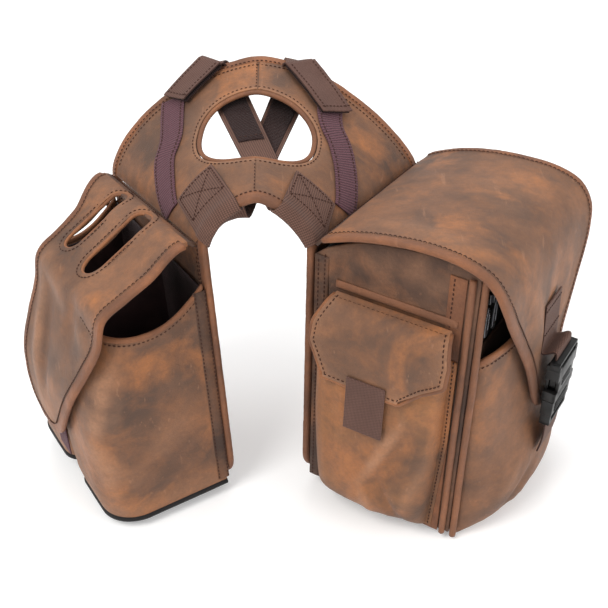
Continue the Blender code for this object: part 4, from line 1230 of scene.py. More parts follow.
def build_right_flap():
    bend = Bend(RIGHT_PROFILE, 1, RIGHT)
    edges = smooth(RIGHT_EDGES, 9)
    rows, wear = flap_skin(bend, edges, right_relief, 56)
    shell("right_flap_skin", rows, FLAP_THICK, "leather", "right_flap", ["right_flap"], wear)
    paths = bind_flap("right", bend, edges, right_relief, 0.0066)
    stitch_rows("right_flap_stitches", paths, "right_flap", pitch=0.0042, length=0.0029)
    build_flap_root("right", bend, RIGHT, ((0.0022, 0.0030), (0.0055, 0.0075), (0.0093, 0.0108)),
                    (-0.002, 0.190))
    keys = [bend.at(run, BUCKLE_ALONG, 0.0019 + right_relief(run, BUCKLE_ALONG) * 0.5)
            for run in (0.220, 0.236, 0.252, 0.268)]
    keys += [RIGHT @ Vector((0.1925, BUCKLE_ALONG, -0.083)), RIGHT @ Vector((0.1940, BUCKLE_ALONG, -0.0925))]
    along, out = toward(RIGHT, (0, 1, 0)), toward(RIGHT, (1, 0, 0))
    rows = [[spot + along * (0.018 * c) for c in COLUMNS] for spot in smooth(keys, 6)]
    shell("upper_buckle_webbing", rows, WEB_THICK, "webbing", "right_flap", ["upper_buckle_strap"])
    normals, flip = grid_normals(rows), facing(rows, (3, 4), out)
    paths = [([(p + n * (flip * 0.0009), along, n * flip) for p, n in zip(rows[r], normals[r])], False)
             for r in (2, 11)]
    stitch_rows("upper_buckle_stitches", paths, "right_flap", pitch=0.0034)


# Main bag -----------------------------------------------------------------------------------------

BUCKLE_X, BUCKLE_ALONG = 0.1945, 0.094
BUCKLE_TOP, BUCKLE_JOIN, BUCKLE_END = -0.0905, -0.1325, -0.160
GUSSET_TOP = ((0.0014, -0.008), (0.016, 0.004), (0.045, 0.018), (0.080, 0.025),
              (0.115, 0.027), (0.140, 0.024), (BAG_DEPTH - 0.0005, 0.019))
SEAM_X = BAG_DEPTH + 0.0028
POCKET_DEPTHS = ((-0.055, 0.0190), (-0.100, 0.0220), (-0.150, 0.0275), (-0.167, 0.0300),
                 (-0.200, 0.040), (-0.232, 0.040), (-0.252, 0.026), (-0.261, 0.004))
GUSSET_STRIPS = (  # name, finish, height at the top and bottom, lean, and (x, lift) across the strip
    ("gusset_front_strip_", "binding", 0.016, -0.001, -0.02,
     ((0.1215, 0.0018), (0.1222, 0.0026), (0.129, 0.0028), (0.1362, 0.0026))),
    ("gusset_back_strip_", "leather_dark", -0.006, 0.002, 0.0,
     ((0.0026, 0.0026), (0.0090, 0.0028), (0.0146, 0.0026), (0.0153, 0.0018))))
GUSSET_STITCHES = ((0.1256, 0.014), (0.0062, -0.010), (0.0122, -0.004))
PIPINGS = (  # name, node, x, lift, radius, height at the top, and how far it runs below the bag
    ("corner_piping_", "gusset_piping_", BAG_DEPTH - 0.0062, 0.0036, 0.0028, 0.018, 0.0),
    ("seam_piping_", "seam_binding_", SEAM_X, -0.0006, 0.0030, 0.020, 0.003))


def build_gusset(side, y, drop, out):
    top = curve(GUSSET_TOP, 8)

    def spot(v, u):
        x = mix(0.0014, BAG_DEPTH - 0.0005, u)
        return x, mix(between(top, x) - drop, -BAG_HEIGHT, v)

    def leather(v, u):
        x, z = spot(v, u)
        puff = 0.0016 * math.exp(-((z + 0.005) / 0.03) ** 2) + 0.0007 * rough((x, z, out), 0.05, 21)
        return x, y + out * puff * bulge(u, 2), z

    def worn(v, u):
        x, z = spot(v, u)
        return clamp(0.5 * rough((x, z, out), 0.016, 22) + 0.3 * math.exp(-(z / 0.02) ** 2))

    def upright(x, lift, high, low, steps):
        return straight(RIGHT, (x, y + out * lift, high - drop), (x, y + out * lift, -BAG_HEIGHT + low),
                        (1, 0, 0), (0, out, 0), steps)

    shell("gusset_leather_" + side, placed(RIGHT, net(44, 36, leather)), 0.003, "leather_dark",
          "root", ["gusset_" + side], net(44, 36, worn))
    for name, finish, high, low, lean, section in GUSSET_STRIPS:
        strip = [[(x, y + out * lift, mix(high - drop + (x - 0.120) * lean, -BAG_HEIGHT + low, r / 40))
                  for x, lift in section] for r in range(41)]
        shell(name + side, placed(RIGHT, strip), 0.0012, finish, "root")
    paths = [(upright(x, 0.0034, high, 0.002, 60), False) for x, high in GUSSET_STITCHES]
    stitch_rows("gusset_stitches_" + side, paths, "root", pitch=0.0044)
    for name, node, x, lift, radius, high, below in PIPINGS:
        frames = [(p + i * (0.0004 * rough(p, 0.03, 24)), i, n)
                  for p, i, n in upright(x, lift, high, -below, 90)]
        roll(name + side, frames, radius, "binding", "root", [node + side])


def sewn_pocket(names, rows, thick, finish, flip, relief, worn, hem, row=0):
    """A pocket's leather with its folds, and the binding and stitches at its mouth.

    names are of the leather, its node, the hem and the stitches.  hem holds the binding's half
    thickness and width, then the place of the thread; row is where the mouth's normals are read.
    """
    high, wide = len(rows) - 1, len(rows[0]) - 1
    leather, node, binding, thread = names
    rows, heights = emboss(rows, lambda r, c: relief(c / wide, r / high), flip)
    wear = [[worn(h, r / high) for h in line] for r, line in enumerate(heights)]
    shell(leather, rows, thick, finish, "root", [node], wear)
    normals = [[n * flip for n in line] for line in grid_normals(rows)]
    frames = even([(p, (q - p).normalized(), n) for p, q, n in zip(rows[0], rows[row + 1], normals[row])],
                  0.0025)
    band(binding, frames, *hem[:2], "edge_tan", "root")
    path = (shifted(frames, *hem[2:]), False)
    if thread:
        stitch_rows(thread, [path], "root")
    return rows, normals, path


FRONT_FOLDS = (
    ((0.10, 0.62), (0.04, 0.99), 0.045, -0.0044), ((0.20, 1.02), (0.40, 0.80), 0.040, -0.0046),
    ((0.10, 1.04), (0.38, 0.98), 0.028, 0.0034), ((0.14, 0.88), (0.26, 0.72), 0.035, 0.0024),
    ((0.95, 0.70), (0.80, 1.02), 0.050, -0.0036), ((0.55, 0.98), (0.72, 0.90), 0.030, -0.0016),
    ((0.30, 0.15), (0.20, 0.60), 0.070, -0.0016), ((0.62, 0.30), (0.68, 0.72), 0.080, 0.0012))
PHONE_FOLDS = (
    ((0.94, 0.40), (0.60, 1.22), 0.075, -0.0064), ((0.80, 0.45), (0.50, 1.16), 0.055, 0.0034),
    ((0.62, 1.14), (0.86, 1.56), 0.055, -0.0050), ((0.98, 0.80), (0.84, 1.36), 0.050, 0.0030),
    ((0.50, 1.20), (0.58, 1.56), 0.050, 0.0022), ((0.08, 0.20), (0.10, 1.30), 0.050, 0.0018),
    ((0.16, 0.50), (0.20, 1.30), 0.050, -0.0014))


def front_relief(u, v):
    """Wrinkles of the front pocket; u runs across it and v from its top, 0 to 1."""
    rise = folds(u, v * 1.1, FRONT_FOLDS)
    rise += 0.0010 * rough((u, v, 0), 0.22, 31) + 0.0004 * rough((u, v, 1), 0.07, 32)
    return rise * bulge(u, 1.4) * ease(0, 0.06, v)


def build_front():
    inner, outer = 0.0037, FOLD_LENGTH - 0.0037
    depths = curve(POCKET_DEPTHS, 6, -1)

    def spot(v, u):
        dip = 0.0075 * max(0.0, 1 - bulge(u, 3.2)) + 0.0012 * rough((u, 0, 5), 0.3, 33)
        z = mix(-0.056 - dip, -0.2605, v ** 0.94)
        return (BAG_DEPTH + 0.0026 + between(depths, -z) * bulge(u, 2.0),
                mix(0.0062, FOLD_LENGTH - 0.0062, u), z)

    rows = placed(RIGHT, net(54, 56, spot))
    sewn_pocket(("front_pocket_leather", "front_pocket", "front_pocket_hem", "front_pocket_stitches"),
                rows, 0.003, "leather", facing(rows, (20, 28), toward(RIGHT, (1, 0, 0))), front_relief,
                lambda h, v: clamp(h / 0.003) * 0.8, (0.0020, 0.0046, 0.0062, 0.0017))
    panel = net(24, 20, lambda v, u: (0.14535, mix(inner, outer, u), mix(-0.060, -0.2538, v)))
    shell("front_panel_leather", placed(RIGHT, panel), 0.0023, "leather_dark", "root", ["front_panel"])
    floor = net(24, 20, lambda v, u: (mix(0.0014, BAG_DEPTH - 0.0005, u), mix(inner, outer, v),
                                      -0.2556 + 0.0004 * rough((u * 20, v * 24, 0), 5, 35)))
    shell("bottom_leather", placed(RIGHT, floor), 0.0028, "leather_dark", "root", ["bottom_panel"])


PHONE_SIDES = (0.014, 0.130)
PHONE_DEPTHS = ((-0.066, 0.0200), (-0.105, 0.0235), (-0.150, 0.0265), (-0.205, 0.0275),
                (-0.235, 0.0235), (-0.249, 0.012), (-0.254, 0.002))
PHONE_PROFILE = ((0.0045, -0.0330), (0.0150, -0.0385), (0.0255, -0.0520), (0.0295, -0.0750),
                 (0.0305, -0.1050))
PHONE_EDGES = ((0.0, 0.026, 0.130), (0.012, 0.022, 0.133), (0.030, 0.0155, 0.1385),
               (0.048, 0.0145, 0.1385), (0.062, 0.021, 0.120), (0.078, 0.029, 0.100))


def phone_relief(u, v):
    """Folds of the phone pocket: a long diagonal one and a pinch in its lower corner."""
    rise = folds(u, v * 1.6, PHONE_FOLDS)
    rise += 0.0010 * rough((u, v, 0), 0.25, 41) + 0.0004 * rough((u, v, 1), 0.08, 42)
    return rise * bulge(u, 1.6) * ease(0, 0.05, v)


def drawn_in(z):
    """How far the phone pocket's sides come in at a height."""
    return 0.006 * clamp((-0.15 - z) / 0.1)


def build_phone_pocket():
    depths = curve(PHONE_DEPTHS, 6, -1)
    out, along = toward(RIGHT, (0, -1, 0)), toward(RIGHT, (1, 0, 0))

    def spot(v, u):
        z = mix(-0.0665 - 0.003 * u, -0.2535, v ** 0.96)
        return (mix(PHONE_SIDES[0] + drawn_in(z), PHONE_SIDES[1] - drawn_in(z), u),
                -0.0026 - between(depths, -z) * bulge(u, 3.0), z)

    rows = placed(RIGHT, net(56, 48, spot))
    _, _, path = sewn_pocket(("phone_pocket_leather", "phone_pocket", "phone_pocket_hem", None),
                             rows, 0.0026, "leather_warm", facing(rows, (28, 24), out), phone_relief,
                             lambda h, v: clamp(h / 0.0026) * 0.85, (0.0017, 0.0030, 0.0050, 0.0014))
    paths = [path]
    for name, x, way in (("back", PHONE_SIDES[0], -1), ("front", PHONE_SIDES[1], 1)):
        strip = [[(x + way * (d - drawn_in(z)), -0.0004 - h, z) for d, h in
                  ((-0.0022, 0.0042), (-0.0008, 0.0022), (0.0016, 0.0014), (0.0062, 0.0013))]
                 for z in (mix(-0.064, -0.2545, r / 40) for r in range(41))]
        strip = placed(RIGHT, strip)
        shell("phone_pocket_flange_" + name, strip, 0.0016, "leather_warm", "root")
        paths.append(([(row[2].lerp(row[3], 0.35) + out * 0.0009, along, out) for row in strip], False))
    stitch_rows("phone_pocket_stitches", paths, "root", pitch=0.0042)
    hood = straight(RIGHT, (0.0235, -0.0014, -0.0280), (0.1325, -0.0014, -0.0280), (0, 0, -1), (0, -1, 0), 60)
    roll("phone_hood_leather", hood, 0.0038, "binding", "root", ["phone_hood"], flat=0.33, sides=20)
    build_phone_flap(along)


def build_phone_flap(across):
    line = smooth([(0, -y, z) for y, z in PHONE_PROFILE], 10)
    reach = lengths(line)
    end = reach[-1]

    def at(run, x, lift=0.0):
        index = 0
        while index < len(line) - 2 and reach[index + 1] < run:
            index += 1
        a, b = line[index], line[index + 1]
        ahead = (b - a).normalized()
        share = (run - reach[index]) / (reach[index + 1] - reach[index])
        curl = 0.0035 * ease(0.118, 0.139, x) * ease(0.030, 0.060, run)
        rise = 0.0006 * rough((run, x, 0), 0.02, 44) + 0.0008 * rough((run, x, 0), 0.05, 45) + curl
        lift += rise * ease(0.006, 0.025, run)
        return RIGHT @ (Vector((x, 0, 0)) + a + (b - a) * share + Vector((0, ahead.z, -ahead.y)) * lift)

    lows = [(run, low) for run, low, _ in PHONE_EDGES]
    highs = [(run, high) for run, _, high in PHONE_EDGES]
    rows = net(40, 32, lambda v, u: at(end * v, mix(between(lows, end * v), between(highs, end * v), u)))
    wear = net(40, 32, lambda v, u: clamp(0.5 * math.exp(-16 * min(u, 1 - u))
                                          + 0.5 * math.exp((v - 1) * 40 / 3)))
    shell("phone_flap_leather", rows, 0.0024, "leather", "phone_flap", ["phone_flap"], wear)
    tip = [(end - 0.0004, x) for x in PHONE_EDGES[-1][1:]]
    edge = lows[:-1] + tip + highs[-2::-1]
    path = []
    for a, b in zip(edge, edge[1:]):
        path += [(mix(a[0], b[0], k / 14), mix(a[1], b[1], k / 14)) for k in range(14)]
    path.append(edge[-1])
    middle = at(0.045, 0.077)
    frames = []
    for index, (run, x) in enumerate(path):
        spot = at(run, x)
        normal = (at(run, x, 0.001) - spot).normalized()
        ahead = (at(*path[min(index + 2, len(path) - 1)]) - at(*path[max(index - 2, 0)])).normalized()
        inward = normal.cross(ahead).normalized()
        frames.append((spot, -inward if inward.dot(middle - spot) < 0 else inward, normal))
    frames = even(frames[3:-3], 0.002)
    band("phone_flap_edge", frames, 0.0015, 0.0016, "edge_tan", "phone_flap")
    up = (at(0.006, 0.07, 0.001) - at(0.006, 0.07)).normalized()
    top = [(at(0.006, mix(0.027, 0.130, k / 40)) + up * 0.0013, across, up) for k in range(41)]
    stitch_rows("phone_flap_stitches", [(shifted(frames, 0.0046, 0.0013), False), (top, False)],
                "phone_flap", pitch=0.0042)
    rows = [[(x, -0.0328 - 0.0008 * v - 0.0012 * v * v, mix(-0.092, -0.1455, v) + 0.016 * (x - 0.071))
             for x in (0.0530, 0.0565, 0.062, 0.068, 0.074, 0.080, 0.0855, 0.0890)]
            for v in (k / 16 for k in range(17))]
    shell("phone_tab_webbing", placed(RIGHT, rows), WEB_THICK, "webbing_plain", "phone_flap", ["phone_tab"])
    rows = net(8, 8, lambda v, u: (mix(0.056, 0.0865, u), mix(-0.0300, -0.0317, v), mix(-0.113, -0.142, v)))
    shell("phone_loop_tape", placed(RIGHT, rows), 0.0010, "hook_tape", "root", ["phone_loop_patch"])


# Removable insert of the main bag -------------------------------------------------------------------

BOX_LOW = Vector((0.0055, 0.0062, -0.2535))
BOX_HIGH = Vector((0.1425, FOLD_LENGTH - 0.0062, -0.008))
LID_RISE = ((0.0, 0.0), (0.12, 0.010), (0.30, 0.019), (0.55, 0.024), (0.80, 0.023),
            (0.93, 0.014), (1.0, 0.0))
LID_SHORT = 0.0030
ZIP_X = BOX_HIGH.x + 0.0010


def rounded_plan(low, high, radius):
    """A rectangle with rounded corners in plan, once round, with no step much over 12 mm."""
    plan = []
    for x, y, start in ((high.x - radius, low.y + radius, -90), (high.x - radius, high.y - radius, 0),
                        (low.x + radius, high.y - radius, 90), (low.x + radius, low.y + radius, 180)):
        plan += arc((x, y), radius, start, start + 90, 6)
    full = []
    for a, b in zip(plan, plan[1:] + plan[:1]):
        count = max(1, round(math.dist(a, b) / 0.012))
        full += [(mix(a[0], b[0], k / count), mix(a[1], b[1], k / count)) for k in range(count)]
    return full


def build_insert():
    inset = Vector((0.0018, 0.0018, 0))
    plan = rounded_plan(BOX_LOW + inset, BOX_HIGH - inset, 0.006)
    cx, cy = (BOX_LOW.x + BOX_HIGH.x) / 2, (BOX_LOW.y + BOX_HIGH.y) / 2
    rows = []
    for k in range(17):
        v = k / 16
        row = []
        for x, y in plan:
            swell = 1 - 0.0060 * math.sin(math.pi * v) * rough((x, y, v), 0.06, 51) ** 2
            z = mix(-0.0095 - slope_at(y), BOX_LOW.z + 0.0016, v)
            row.append((mix(cx, x, swell), mix(cy, y, swell), z))
        rows.append(row)
    for share in (0.8, 0.5, 0.2, 0.02):
        rows.append([(mix(cx, x, share), mix(cy, y, share), BOX_LOW.z + 0.0014) for x, y in plan])
    shell("insert_walls", placed(RIGHT, rows), 0.0034, "black_nylon", "root", ["insert_body"], closed=True)
    rises = curve(LID_RISE, 6)

    def lid(u, v):
        y = mix(BOX_LOW.y, BOX_HIGH.y - LID_SHORT, v)
        z = -0.0048 + between(rises, u) * bulge(v, 5) - slope_at(y) + 0.0004 * rough((u, v, 0), 0.3, 52)
        return mix(BOX_LOW.x + 0.002, BOX_HIGH.x - 0.001, u), y, z

    rows = placed(RIGHT, net(36, 32, lid))
    shell("insert_lid_nylon", rows, 0.003, "black_nylon", "insert_lid", ["insert_lid"])
    up = toward(RIGHT, (0, 0, 1))
    rim = [row[0] for row in rows[2:]] + rows[-1][1:-1] + [row[-1] for row in reversed(rows[2:])]
    centre = sum(rim, Vector()) / len(rim)
    frames = [(p, (centre - p).normalized(), up) for p in rim]
    roll("insert_lid_piping", frames, 0.0017, "black_trim", "insert_lid", spacing=0.004, sides=10)
    inner = [row[3] for row in rows[4:-3]] + rows[-4][3:-3] + [row[-4] for row in reversed(rows[4:-3])]
    frames = [(p + up * 0.0013, (centre - p).normalized(), up) for p in inner]
    stitch_rows("insert_lid_stitches", [(frames, False)], "insert_lid", "thread_black")


def build_zipper():
    low, high, corner, start, middle = 0.0052, FOLD_LENGTH - 0.0052, 0.0015, 0.030, -0.0145
    inner = ZIP_X - corner
    plan = [(mix(start, inner, k / 12), low) for k in range(12)]
    plan += arc((inner, low + corner), corner, -90, 0, 4)
    plan += [(ZIP_X, mix(low + corner, high - corner, k / 20)) for k in range(1, 20)]
    plan += arc((inner, high - corner), corner, 0, 90, 4)
    plan += [(mix(inner, start, k / 12), high) for k in range(1, 13)]
    rows = [[(x, y, middle + 0.002 * step - slope_at(y)) for x, y in plan]
            for step in (-2.5, -1.5, -0.5, 0.5, 1.5, 2.5)]
    shell("zipper_tape_cloth", placed(RIGHT, rows), 0.0010, "black_trim", "root", ["zipper_tape"])
    centre = RIGHT @ Vector((0.07, 0.094, middle))
    up = toward(RIGHT, (0, -FOLD_DROP / FOLD_LENGTH, 1)).normalized()
    path = [RIGHT @ Vector((x, y, middle - slope_at(y))) for x, y in plan]
    frames = []
    for index, spot in enumerate(path):
        ahead = (path[min(index + 1, len(path) - 1)] - path[max(index - 1, 0)]).normalized()
        out = ahead.cross(up).normalized()
        if out.dot(spot - centre) < 0:
            out = -out
        frames.append((spot + out * 0.0007, up, out))
    stitch_rows("zipper_coil", [(frames, False)], "root", "buckle",
                pitch=0.0016, length=0.0011, radius=0.0009)
    for side, y in (("near", 0.016), ("far", 0.032)):
        build_slider(side, y)


PULL_SIDE = ((0.0017, -0.0008), (0.0023, -0.0035), (0.0036, -0.010), (0.0039, -0.019))


def build_slider(side, y):
    """A zipper slider: a rounded shell with a bridge, and a drop-shaped pull with a hole."""
    top = -0.0095 - slope_at(y)
    form = bmesh.new()
    for x0, x1, half, low, high in ((0.0010, 0.0026, 0.0040, -0.0105, 0.0),
                                    (0.0026, 0.0050, 0.0013, -0.0085, -0.0012)):
        for vert in bmesh.ops.create_cube(form, size=1.0)["verts"]:
            sx, sy, sz = vert.co * 2
            pinch = 0.72 if sz < 0 and half > 0.002 else 1.0
            vert.co = RIGHT @ Vector((ZIP_X + (x1 if sx > 0 else x0), y + sy * half * pinch,
                                      top + (high if sz > 0 else low)))
    node = "zipper_slider_" + side
    soften(finish_piece("slider_" + side, form_mesh(form, "slider"), "zinc", node, [node]), 0.0006, 3)
    outline = [(-u, v) for u, v in PULL_SIDE] + [(-0.0038, -0.0265)]
    outline += arc((0, -0.0265), 0.0038, 180, 360, 12)[1:] + list(reversed(PULL_SIDE))
    hole = [(u * 0.52, mix(-0.0160, v, 0.60)) for u, v in outline]
    rings = [[RIGHT @ Vector((ZIP_X + 0.0062 + lift, y + u, top - 0.003 + v)) for u, v in line]
             for line, lift in ((outline, -0.0007), (outline, 0.0007), (hole, 0.0007), (hole, -0.0007))]
    node = "zipper_pull_" + side
    soften(finish_piece("pull_" + side, section_mesh("pull", rings, True), "zinc", node, [node]), 0.0003)


# Side-release buckle ---------------------------------------------------------------------------------

def moulded(name, boxes, body, node):
    """A moulded piece: rounded blocks in the bag's frame, each from a lowest to a highest corner.

    The last number of a block is its taper towards the top.
    """
    form = bmesh.new()
    for low, high, taper in boxes:
        for vert in bmesh.ops.create_cube(form, size=1.0)["verts"]:
            place = [(high[i] if vert.co[i] > 0 else low[i]) for i in range(3)]
            if place[2] == high[2]:
                place[1] = mix((low[1] + high[1]) / 2, place[1], taper)
                place[0] = mix((low[0] + high[0]) / 2, place[0], mix(1.0, taper, 0.5))
            vert.co = Vector(place)
    form.transform(RIGHT)
    soften(finish_piece(name, form_mesh(form, name), "buckle", body, [node]), 0.0011, 3)


def block(x, half, z, taper=1.0):
    """A block of the buckle: its reach in x, half its width and its reach in z."""
    return ((BUCKLE_X + x[0], BUCKLE_ALONG - half, z[0]), (BUCKLE_X + x[1], BUCKLE_ALONG + half, z[1]), taper)


def side_block(x, y, z, taper=1.0):
    """A block at both sides of the buckle, y giving how far from its middle it lies."""
    made = []
    for way in (-1, 1):
        low, high = sorted((BUCKLE_ALONG + way * y[0], BUCKLE_ALONG + way * y[1]))
        made.append(((BUCKLE_X + x[0], low, z[0]), (BUCKLE_X + x[1], high, z[1]), taper))
    return made


def build_buckle():
    x, y, top, join, end = BUCKLE_X, BUCKLE_ALONG, BUCKLE_TOP, BUCKLE_JOIN, BUCKLE_END
    half, deep = 0.022, (-0.0060, 0.0060)
    boxes = []
    for face in ((-0.0062, -0.0032), (0.0032, 0.0062)):
        boxes += [block(face, 0.0172, (join, top - 0.007)),
                  block(face, half, (top - 0.020, top - 0.007), 0.94),
                  block(face, half, (join, join + 0.0095))]
    boxes += side_block(deep, (0.0168, half), (join, join + 0.0095))
    boxes += side_block(deep, (0.0168, half), (top - 0.0185, top - 0.004), 0.96)
    boxes += [block(deep, half, (top - 0.0100, top - 0.0065)),
              block((-0.0034, 0.0052), half, (top - 0.0030, top))]
    boxes += side_block((-0.0036, 0.0052), (half - 0.0028, half), (top - 0.0085, top))
    for z in (join + 0.013 + 0.0034 * k for k in range(3)):
        boxes.append(block((0.0058, 0.0068), 0.0105, (z, z + 0.0015), 0.98))
    moulded("buckle_socket", boxes, "right_flap", "buckle_female")
    base, bar = join - 0.0008, (-0.0046, 0.0046)
    boxes = [block((-0.0052, 0.0052), 0.0215, (end + 0.011, base)), block(bar, 0.0205, (end, end + 0.0030)),
             *side_block(bar, (0.0165, 0.0205), (end, end + 0.012)),
             block((-0.0030, 0.0030), 0.0042, (base - 0.001, top - 0.014), 0.7)]
    for z in (end + 0.0135 + 0.0038 * k for k in range(3)):
        boxes.append(block((0.0050, 0.0060), 0.0150, (z, z + 0.0016), 0.98))
    moulded("buckle_catch", boxes, "buckle_male", "buckle_male")
    for side in ("left", "right"):
        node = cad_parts["buckle_prong_" + side]
        node.data.materials.clear()
        node.data.materials.append(FINISH["buckle"])
        soften(node, 0.0006)
    rows = []
    for v in (k / 16 for k in range(17)):
        bow = 0.0010 * math.sin(math.pi * v) - 0.0022 * v * v
        z = mix(end + 0.0010, -0.196, v)
        rows.append([RIGHT @ Vector((x + bow, y + 0.0175 * c, z)) for c in COLUMNS])
    made = shell("lower_buckle_webbing", rows, WEB_THICK, "webbing", "root", ["lower_buckle_strap"])
    bake(made)
    tuple(toward(RIGHT, (0, 0, 1)))
    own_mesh(made)


# Bottle bag ---------------------------------------------------------------------------------------------

MOUTH = ((0.0, -0.034), (0.016, -0.044), (0.045, -0.058), (0.074, -0.064), (0.125, -0.062))
DEPTHS = ((-0.034, 0.092), (-0.062, 0.094), (-0.085, 0.102), (-0.100, 0.109), (-0.122, 0.1155),
          (-0.150, 0.119), (-0.190, 0.1205), (-0.235, 0.1195), (-0.258, 0.115))
POCKETS = {"near": (0.0020, 0.0935, 0.0, 0.032, 0.018), "far": (0.0968, 0.1868, 0.012, 0.018, 0.030)}
BOTTLE_FOLDS = (
    ((0.16, 0.10), (0.22, 0.62), 0.045, -0.0016), ((0.30, 0.05), (0.33, 0.45), 0.030, 0.0016),
    ((0.36, 0.35), (0.30, 0.95), 0.040, 0.0018), ((0.05, 0.05), (0.09, 0.22), 0.020, -0.0018),
    ((0.10, 0.85), (0.26, 0.97), 0.030, -0.0016))


def pocket_path(depth, near, far, round_near, round_far, back=0.0030):
    """Plan of a bottle pocket: out from the back, round both corners and back in."""
    reach_near, reach_far = depth - round_near, depth - round_far
    path = [(mix(back, reach_near, k / 12), near) for k in range(12)]
    path += arc((reach_near, near + round_near), round_near, -90, 0, 12)
    flat = far - round_far - near - round_near
    path += [(depth, near + round_near + flat * k / 8) for k in range(1, 8)]
    path += arc((reach_far, far - round_far), round_far, 0, 90, 12)
    return path + [(mix(reach_far, back, k / 12), far) for k in range(1, 13)]


MOUTH_LINE = curve(MOUTH, 8)
DEPTH_LINE = curve(DEPTHS, 5, -1)


def pocket_rows(near, far, lift, round_near, round_far, lower, inset, high):
    plan = pocket_path(0.12, near, far, round_near, round_far)
    rows = []
    for step in range(high + 1):
        paths, row = {}, []
        for index, (x, _) in enumerate(plan):
            z = mix(between(MOUTH_LINE, x) - lower, -BAG_HEIGHT + lift + lower * 0.5, step / high)
            depth = round(between(DEPTH_LINE, -(z + lift)) - inset, 5)
            if depth not in paths:
                paths[depth] = pocket_path(depth, near, far, round_near, round_far)
            spot = paths[depth][index]
            row.append(LEFT @ Vector((-spot[0], spot[1], z)))
        rows.append(row)
    return rows


def bottle_relief(u, v, seed):
    """Soft folds of a bottle pocket; u runs round it and v from the mouth down."""
    rise = folds(u, v, BOTTLE_FOLDS)
    rise += 0.0012 * rough((u, v, seed), 0.16, 61) + 0.0005 * rough((u, v, seed), 0.05, 62)
    return rise * ease(0, 0.10, min(u, 1 - u)) * ease(0, 0.06, min(v, 1 - v))


def build_bottle_bag():
    for side, (near, far, lift, round_near, round_far) in POCKETS.items():
        middle = (near + far) / 2
        rows = pocket_rows(near, far, lift, round_near, round_far, 0.0, 0.0, 44)
        flip = facing(rows, (22, 20), rows[22][20] - LEFT @ Vector((-0.06, middle, -0.15)))
        seed = 0 if side == "near" else 3
        rows, normals, _ = sewn_pocket(
            [name + side for name in ("bottle_leather_", "bottle_pocket_", "bottle_hem_", "bottle_stitches_")],
            rows, 0.0028, "leather", flip, lambda u, v: bottle_relief(u, v, seed),
            lambda h, v: clamp(h / 0.0022) * 0.7 + 0.35 * ease(0.85, 1.0, v),
            (0.0018, 0.0034, 0.0052, 0.0015), 1)
        build_base(side, rows[-1], normals[-1], middle, lift)
        rows = pocket_rows(near + 0.003, far - 0.003, lift, round_near - 0.003, round_far - 0.003,
                           0.004, 0.003, 30)
        floor = LEFT @ Vector((-0.06, middle, -BAG_HEIGHT + lift + 0.004))
        rows += [[floor.lerp(p, share) for p in rows[-1]] for share in (0.75, 0.4, 0.03)]
        shell("bottle_lining_" + side, rows, 0.0012, "lining", "root", ["bottle_liner_" + side], closed=True)
        flange_strip(side, near if side == "near" else far, -1 if side == "near" else 1, lift)
    rows = net(12, 8, lambda v, u: (-0.1232, mix(0.082, 0.108, u), mix(-0.165, -0.225, v)))
    shell("left_loop_tape", placed(LEFT, rows), 0.0012, "loop_tape", "root", ["left_loop_patch"])


def build_base(side, line, normals, middle, lift):
    """The black base of a bottle pocket, with a bound edge that shows below the leather."""
    bottom = [p - n * 0.0006 for p, n in zip(line, normals)]
    down = toward(LEFT, (0, 0, -1))
    frames = [(p + down * 0.0022, -n, -down) for p, n in zip(bottom, normals)]
    roll("base_piping_" + side, frames, 0.0034, "black_trim", "root", flat=1.05, sides=12)
    centre = LEFT @ Vector((-0.058, middle, -BAG_HEIGHT + lift - 0.0030))
    rings = [[(p + down * 0.0030).lerp(centre, 1 - share) + down * (0.0012 * (1 - share) ** 2)
              for p in bottom]
             for share in (1.0, 0.97, 0.85, 0.65, 0.45, 0.25, 0.03)]
    shell("base_cloth_" + side, rings, 0.0040, "black_nylon", "root", ["bottle_base_" + side], closed=True)


def flange_strip(side, y, out, lift):
    """The turned edge by which a bottle pocket is sewn to the back panel, with two rows of stitches."""
    edge = y - out * 0.0002
    strip = [[(-x, edge + out * h, z) for x, h in
              ((0.0010, 0.0016), (0.0022, 0.0024), (0.0070, 0.0026), (0.0112, 0.0018), (0.0122, 0.0006))]
             for z in (mix(-0.040, -BAG_HEIGHT + lift + 0.004, k / 40) for k in range(41))]
    strip = placed(LEFT, strip)
    shell("bottle_flange_" + side, strip, 0.0012, "leather_dark", "root")
    normal, along = toward(LEFT, (0, out, 0)), toward(LEFT, (1, 0, 0))
    paths = [([(row[column] + normal * 0.0008, along, normal) for row in strip], False) for column in (1, 3)]
    stitch_rows("bottle_flange_stitches_" + side, paths, "root", pitch=0.0042)


# Camera, lights and floor ---------------------------------------------------------------------------------

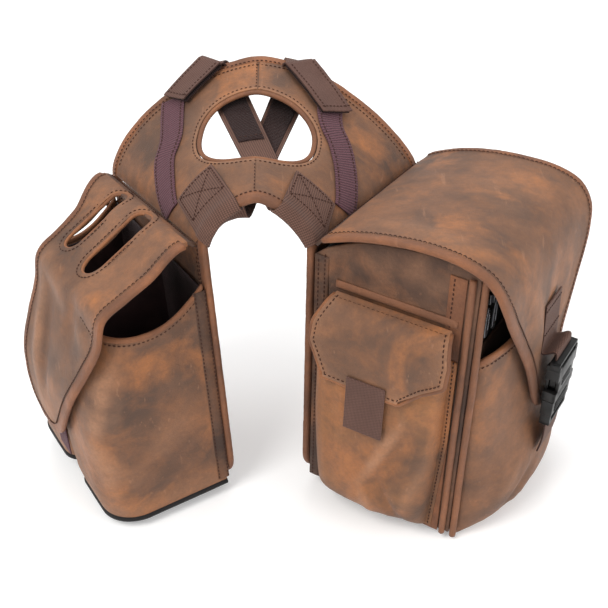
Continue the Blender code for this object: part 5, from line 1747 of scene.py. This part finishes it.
def build_camera():
    down, yaw, roll_angle = math.radians(34.183), math.radians(1.30), math.radians(-2.503)
    back = Vector((math.sin(yaw) * math.cos(down), -math.cos(yaw) * math.cos(down), math.sin(down)))
    side = (-back).cross(Vector((0, 0, 1))).normalized()
    up = side.cross(-back)
    x = math.cos(roll_angle) * side + math.sin(roll_angle) * up
    y = -math.sin(roll_angle) * side + math.cos(roll_angle) * up
    data = bpy.data.cameras.new("camera")
    data.lens, data.sensor_width = 65.07, 36.0
    made = bpy.data.objects.new("camera", data)
    bpy.context.scene.collection.objects.link(made)
    spot = Vector((0.0536, -0.8738, 0.4027))
    made.matrix_world = Matrix.Translation(spot) @ Matrix((x, y, back)).transposed().to_4x4()
    bpy.context.scene.camera = made


def add_light(name, spot, size, power, aim=(0, 0, -0.12), colour=(1, 1, 1)):
    data = bpy.data.lights.new(name, "AREA")
    data.shape, data.size, data.energy, data.color = "DISK", size, power, colour
    made = bpy.data.objects.new(name, data)
    bpy.context.scene.collection.objects.link(made)
    made.location = spot
    made.rotation_euler = (Vector(aim) - Vector(spot)).to_track_quat("-Z", "Y").to_euler()


def build_stage():
    world = bpy.data.worlds.new("studio")
    bpy.context.scene.world = world
    world.use_nodes = True
    world.node_tree.nodes["Background"].inputs["Color"].default_value = (1.0, 1.0, 1.0, 1.0)
    world.node_tree.nodes["Background"].inputs["Strength"].default_value = 0.75
    add_light("key", (-0.9, -1.1, 1.5), 1.1, 26, colour=(1.0, 0.985, 0.96))
    add_light("fill", (1.4, -1.0, 0.8), 1.4, 11)
    add_light("top", (0.0, 0.7, 1.6), 1.2, 13)
    mesh = bpy.data.meshes.new("floor")
    size, low = 6.0, CAD_BOX[0][2] - 0.0015
    corners = ((-size, -size, low), (size, -size, low), (size, size, low), (-size, size, low))
    mesh.from_pydata(corners, [], [(0, 1, 2, 3)])
    floor = bpy.data.objects.new("floor", mesh)
    bpy.context.scene.collection.objects.link(floor)
    m = Mat("floor")
    m.shader.inputs["Emission Color"].default_value = (1.0, 1.0, 1.0, 1.0)
    m.shader.inputs["Emission Strength"].default_value = 0.22
    mesh.materials.append(m.finish((0.86, 0.86, 0.86, 1.0), 0.9, None, 0.0, 0.1))
    bpy.context.scene.view_settings.view_transform = "Standard"


build_camera()
build_stage()
build_yoke()
build_edges()
build_back_panels()
build_loop_strips()
build_straps()
build_tabs()
build_left_flap()
build_right_flap()
build_gusset("near", 0.0017, 0.0, -1)
build_gusset("far", FOLD_LENGTH - 0.0017, FOLD_DROP, 1)
build_front()
build_phone_pocket()
build_insert()
build_zipper()
build_buckle()
build_bottle_bag()
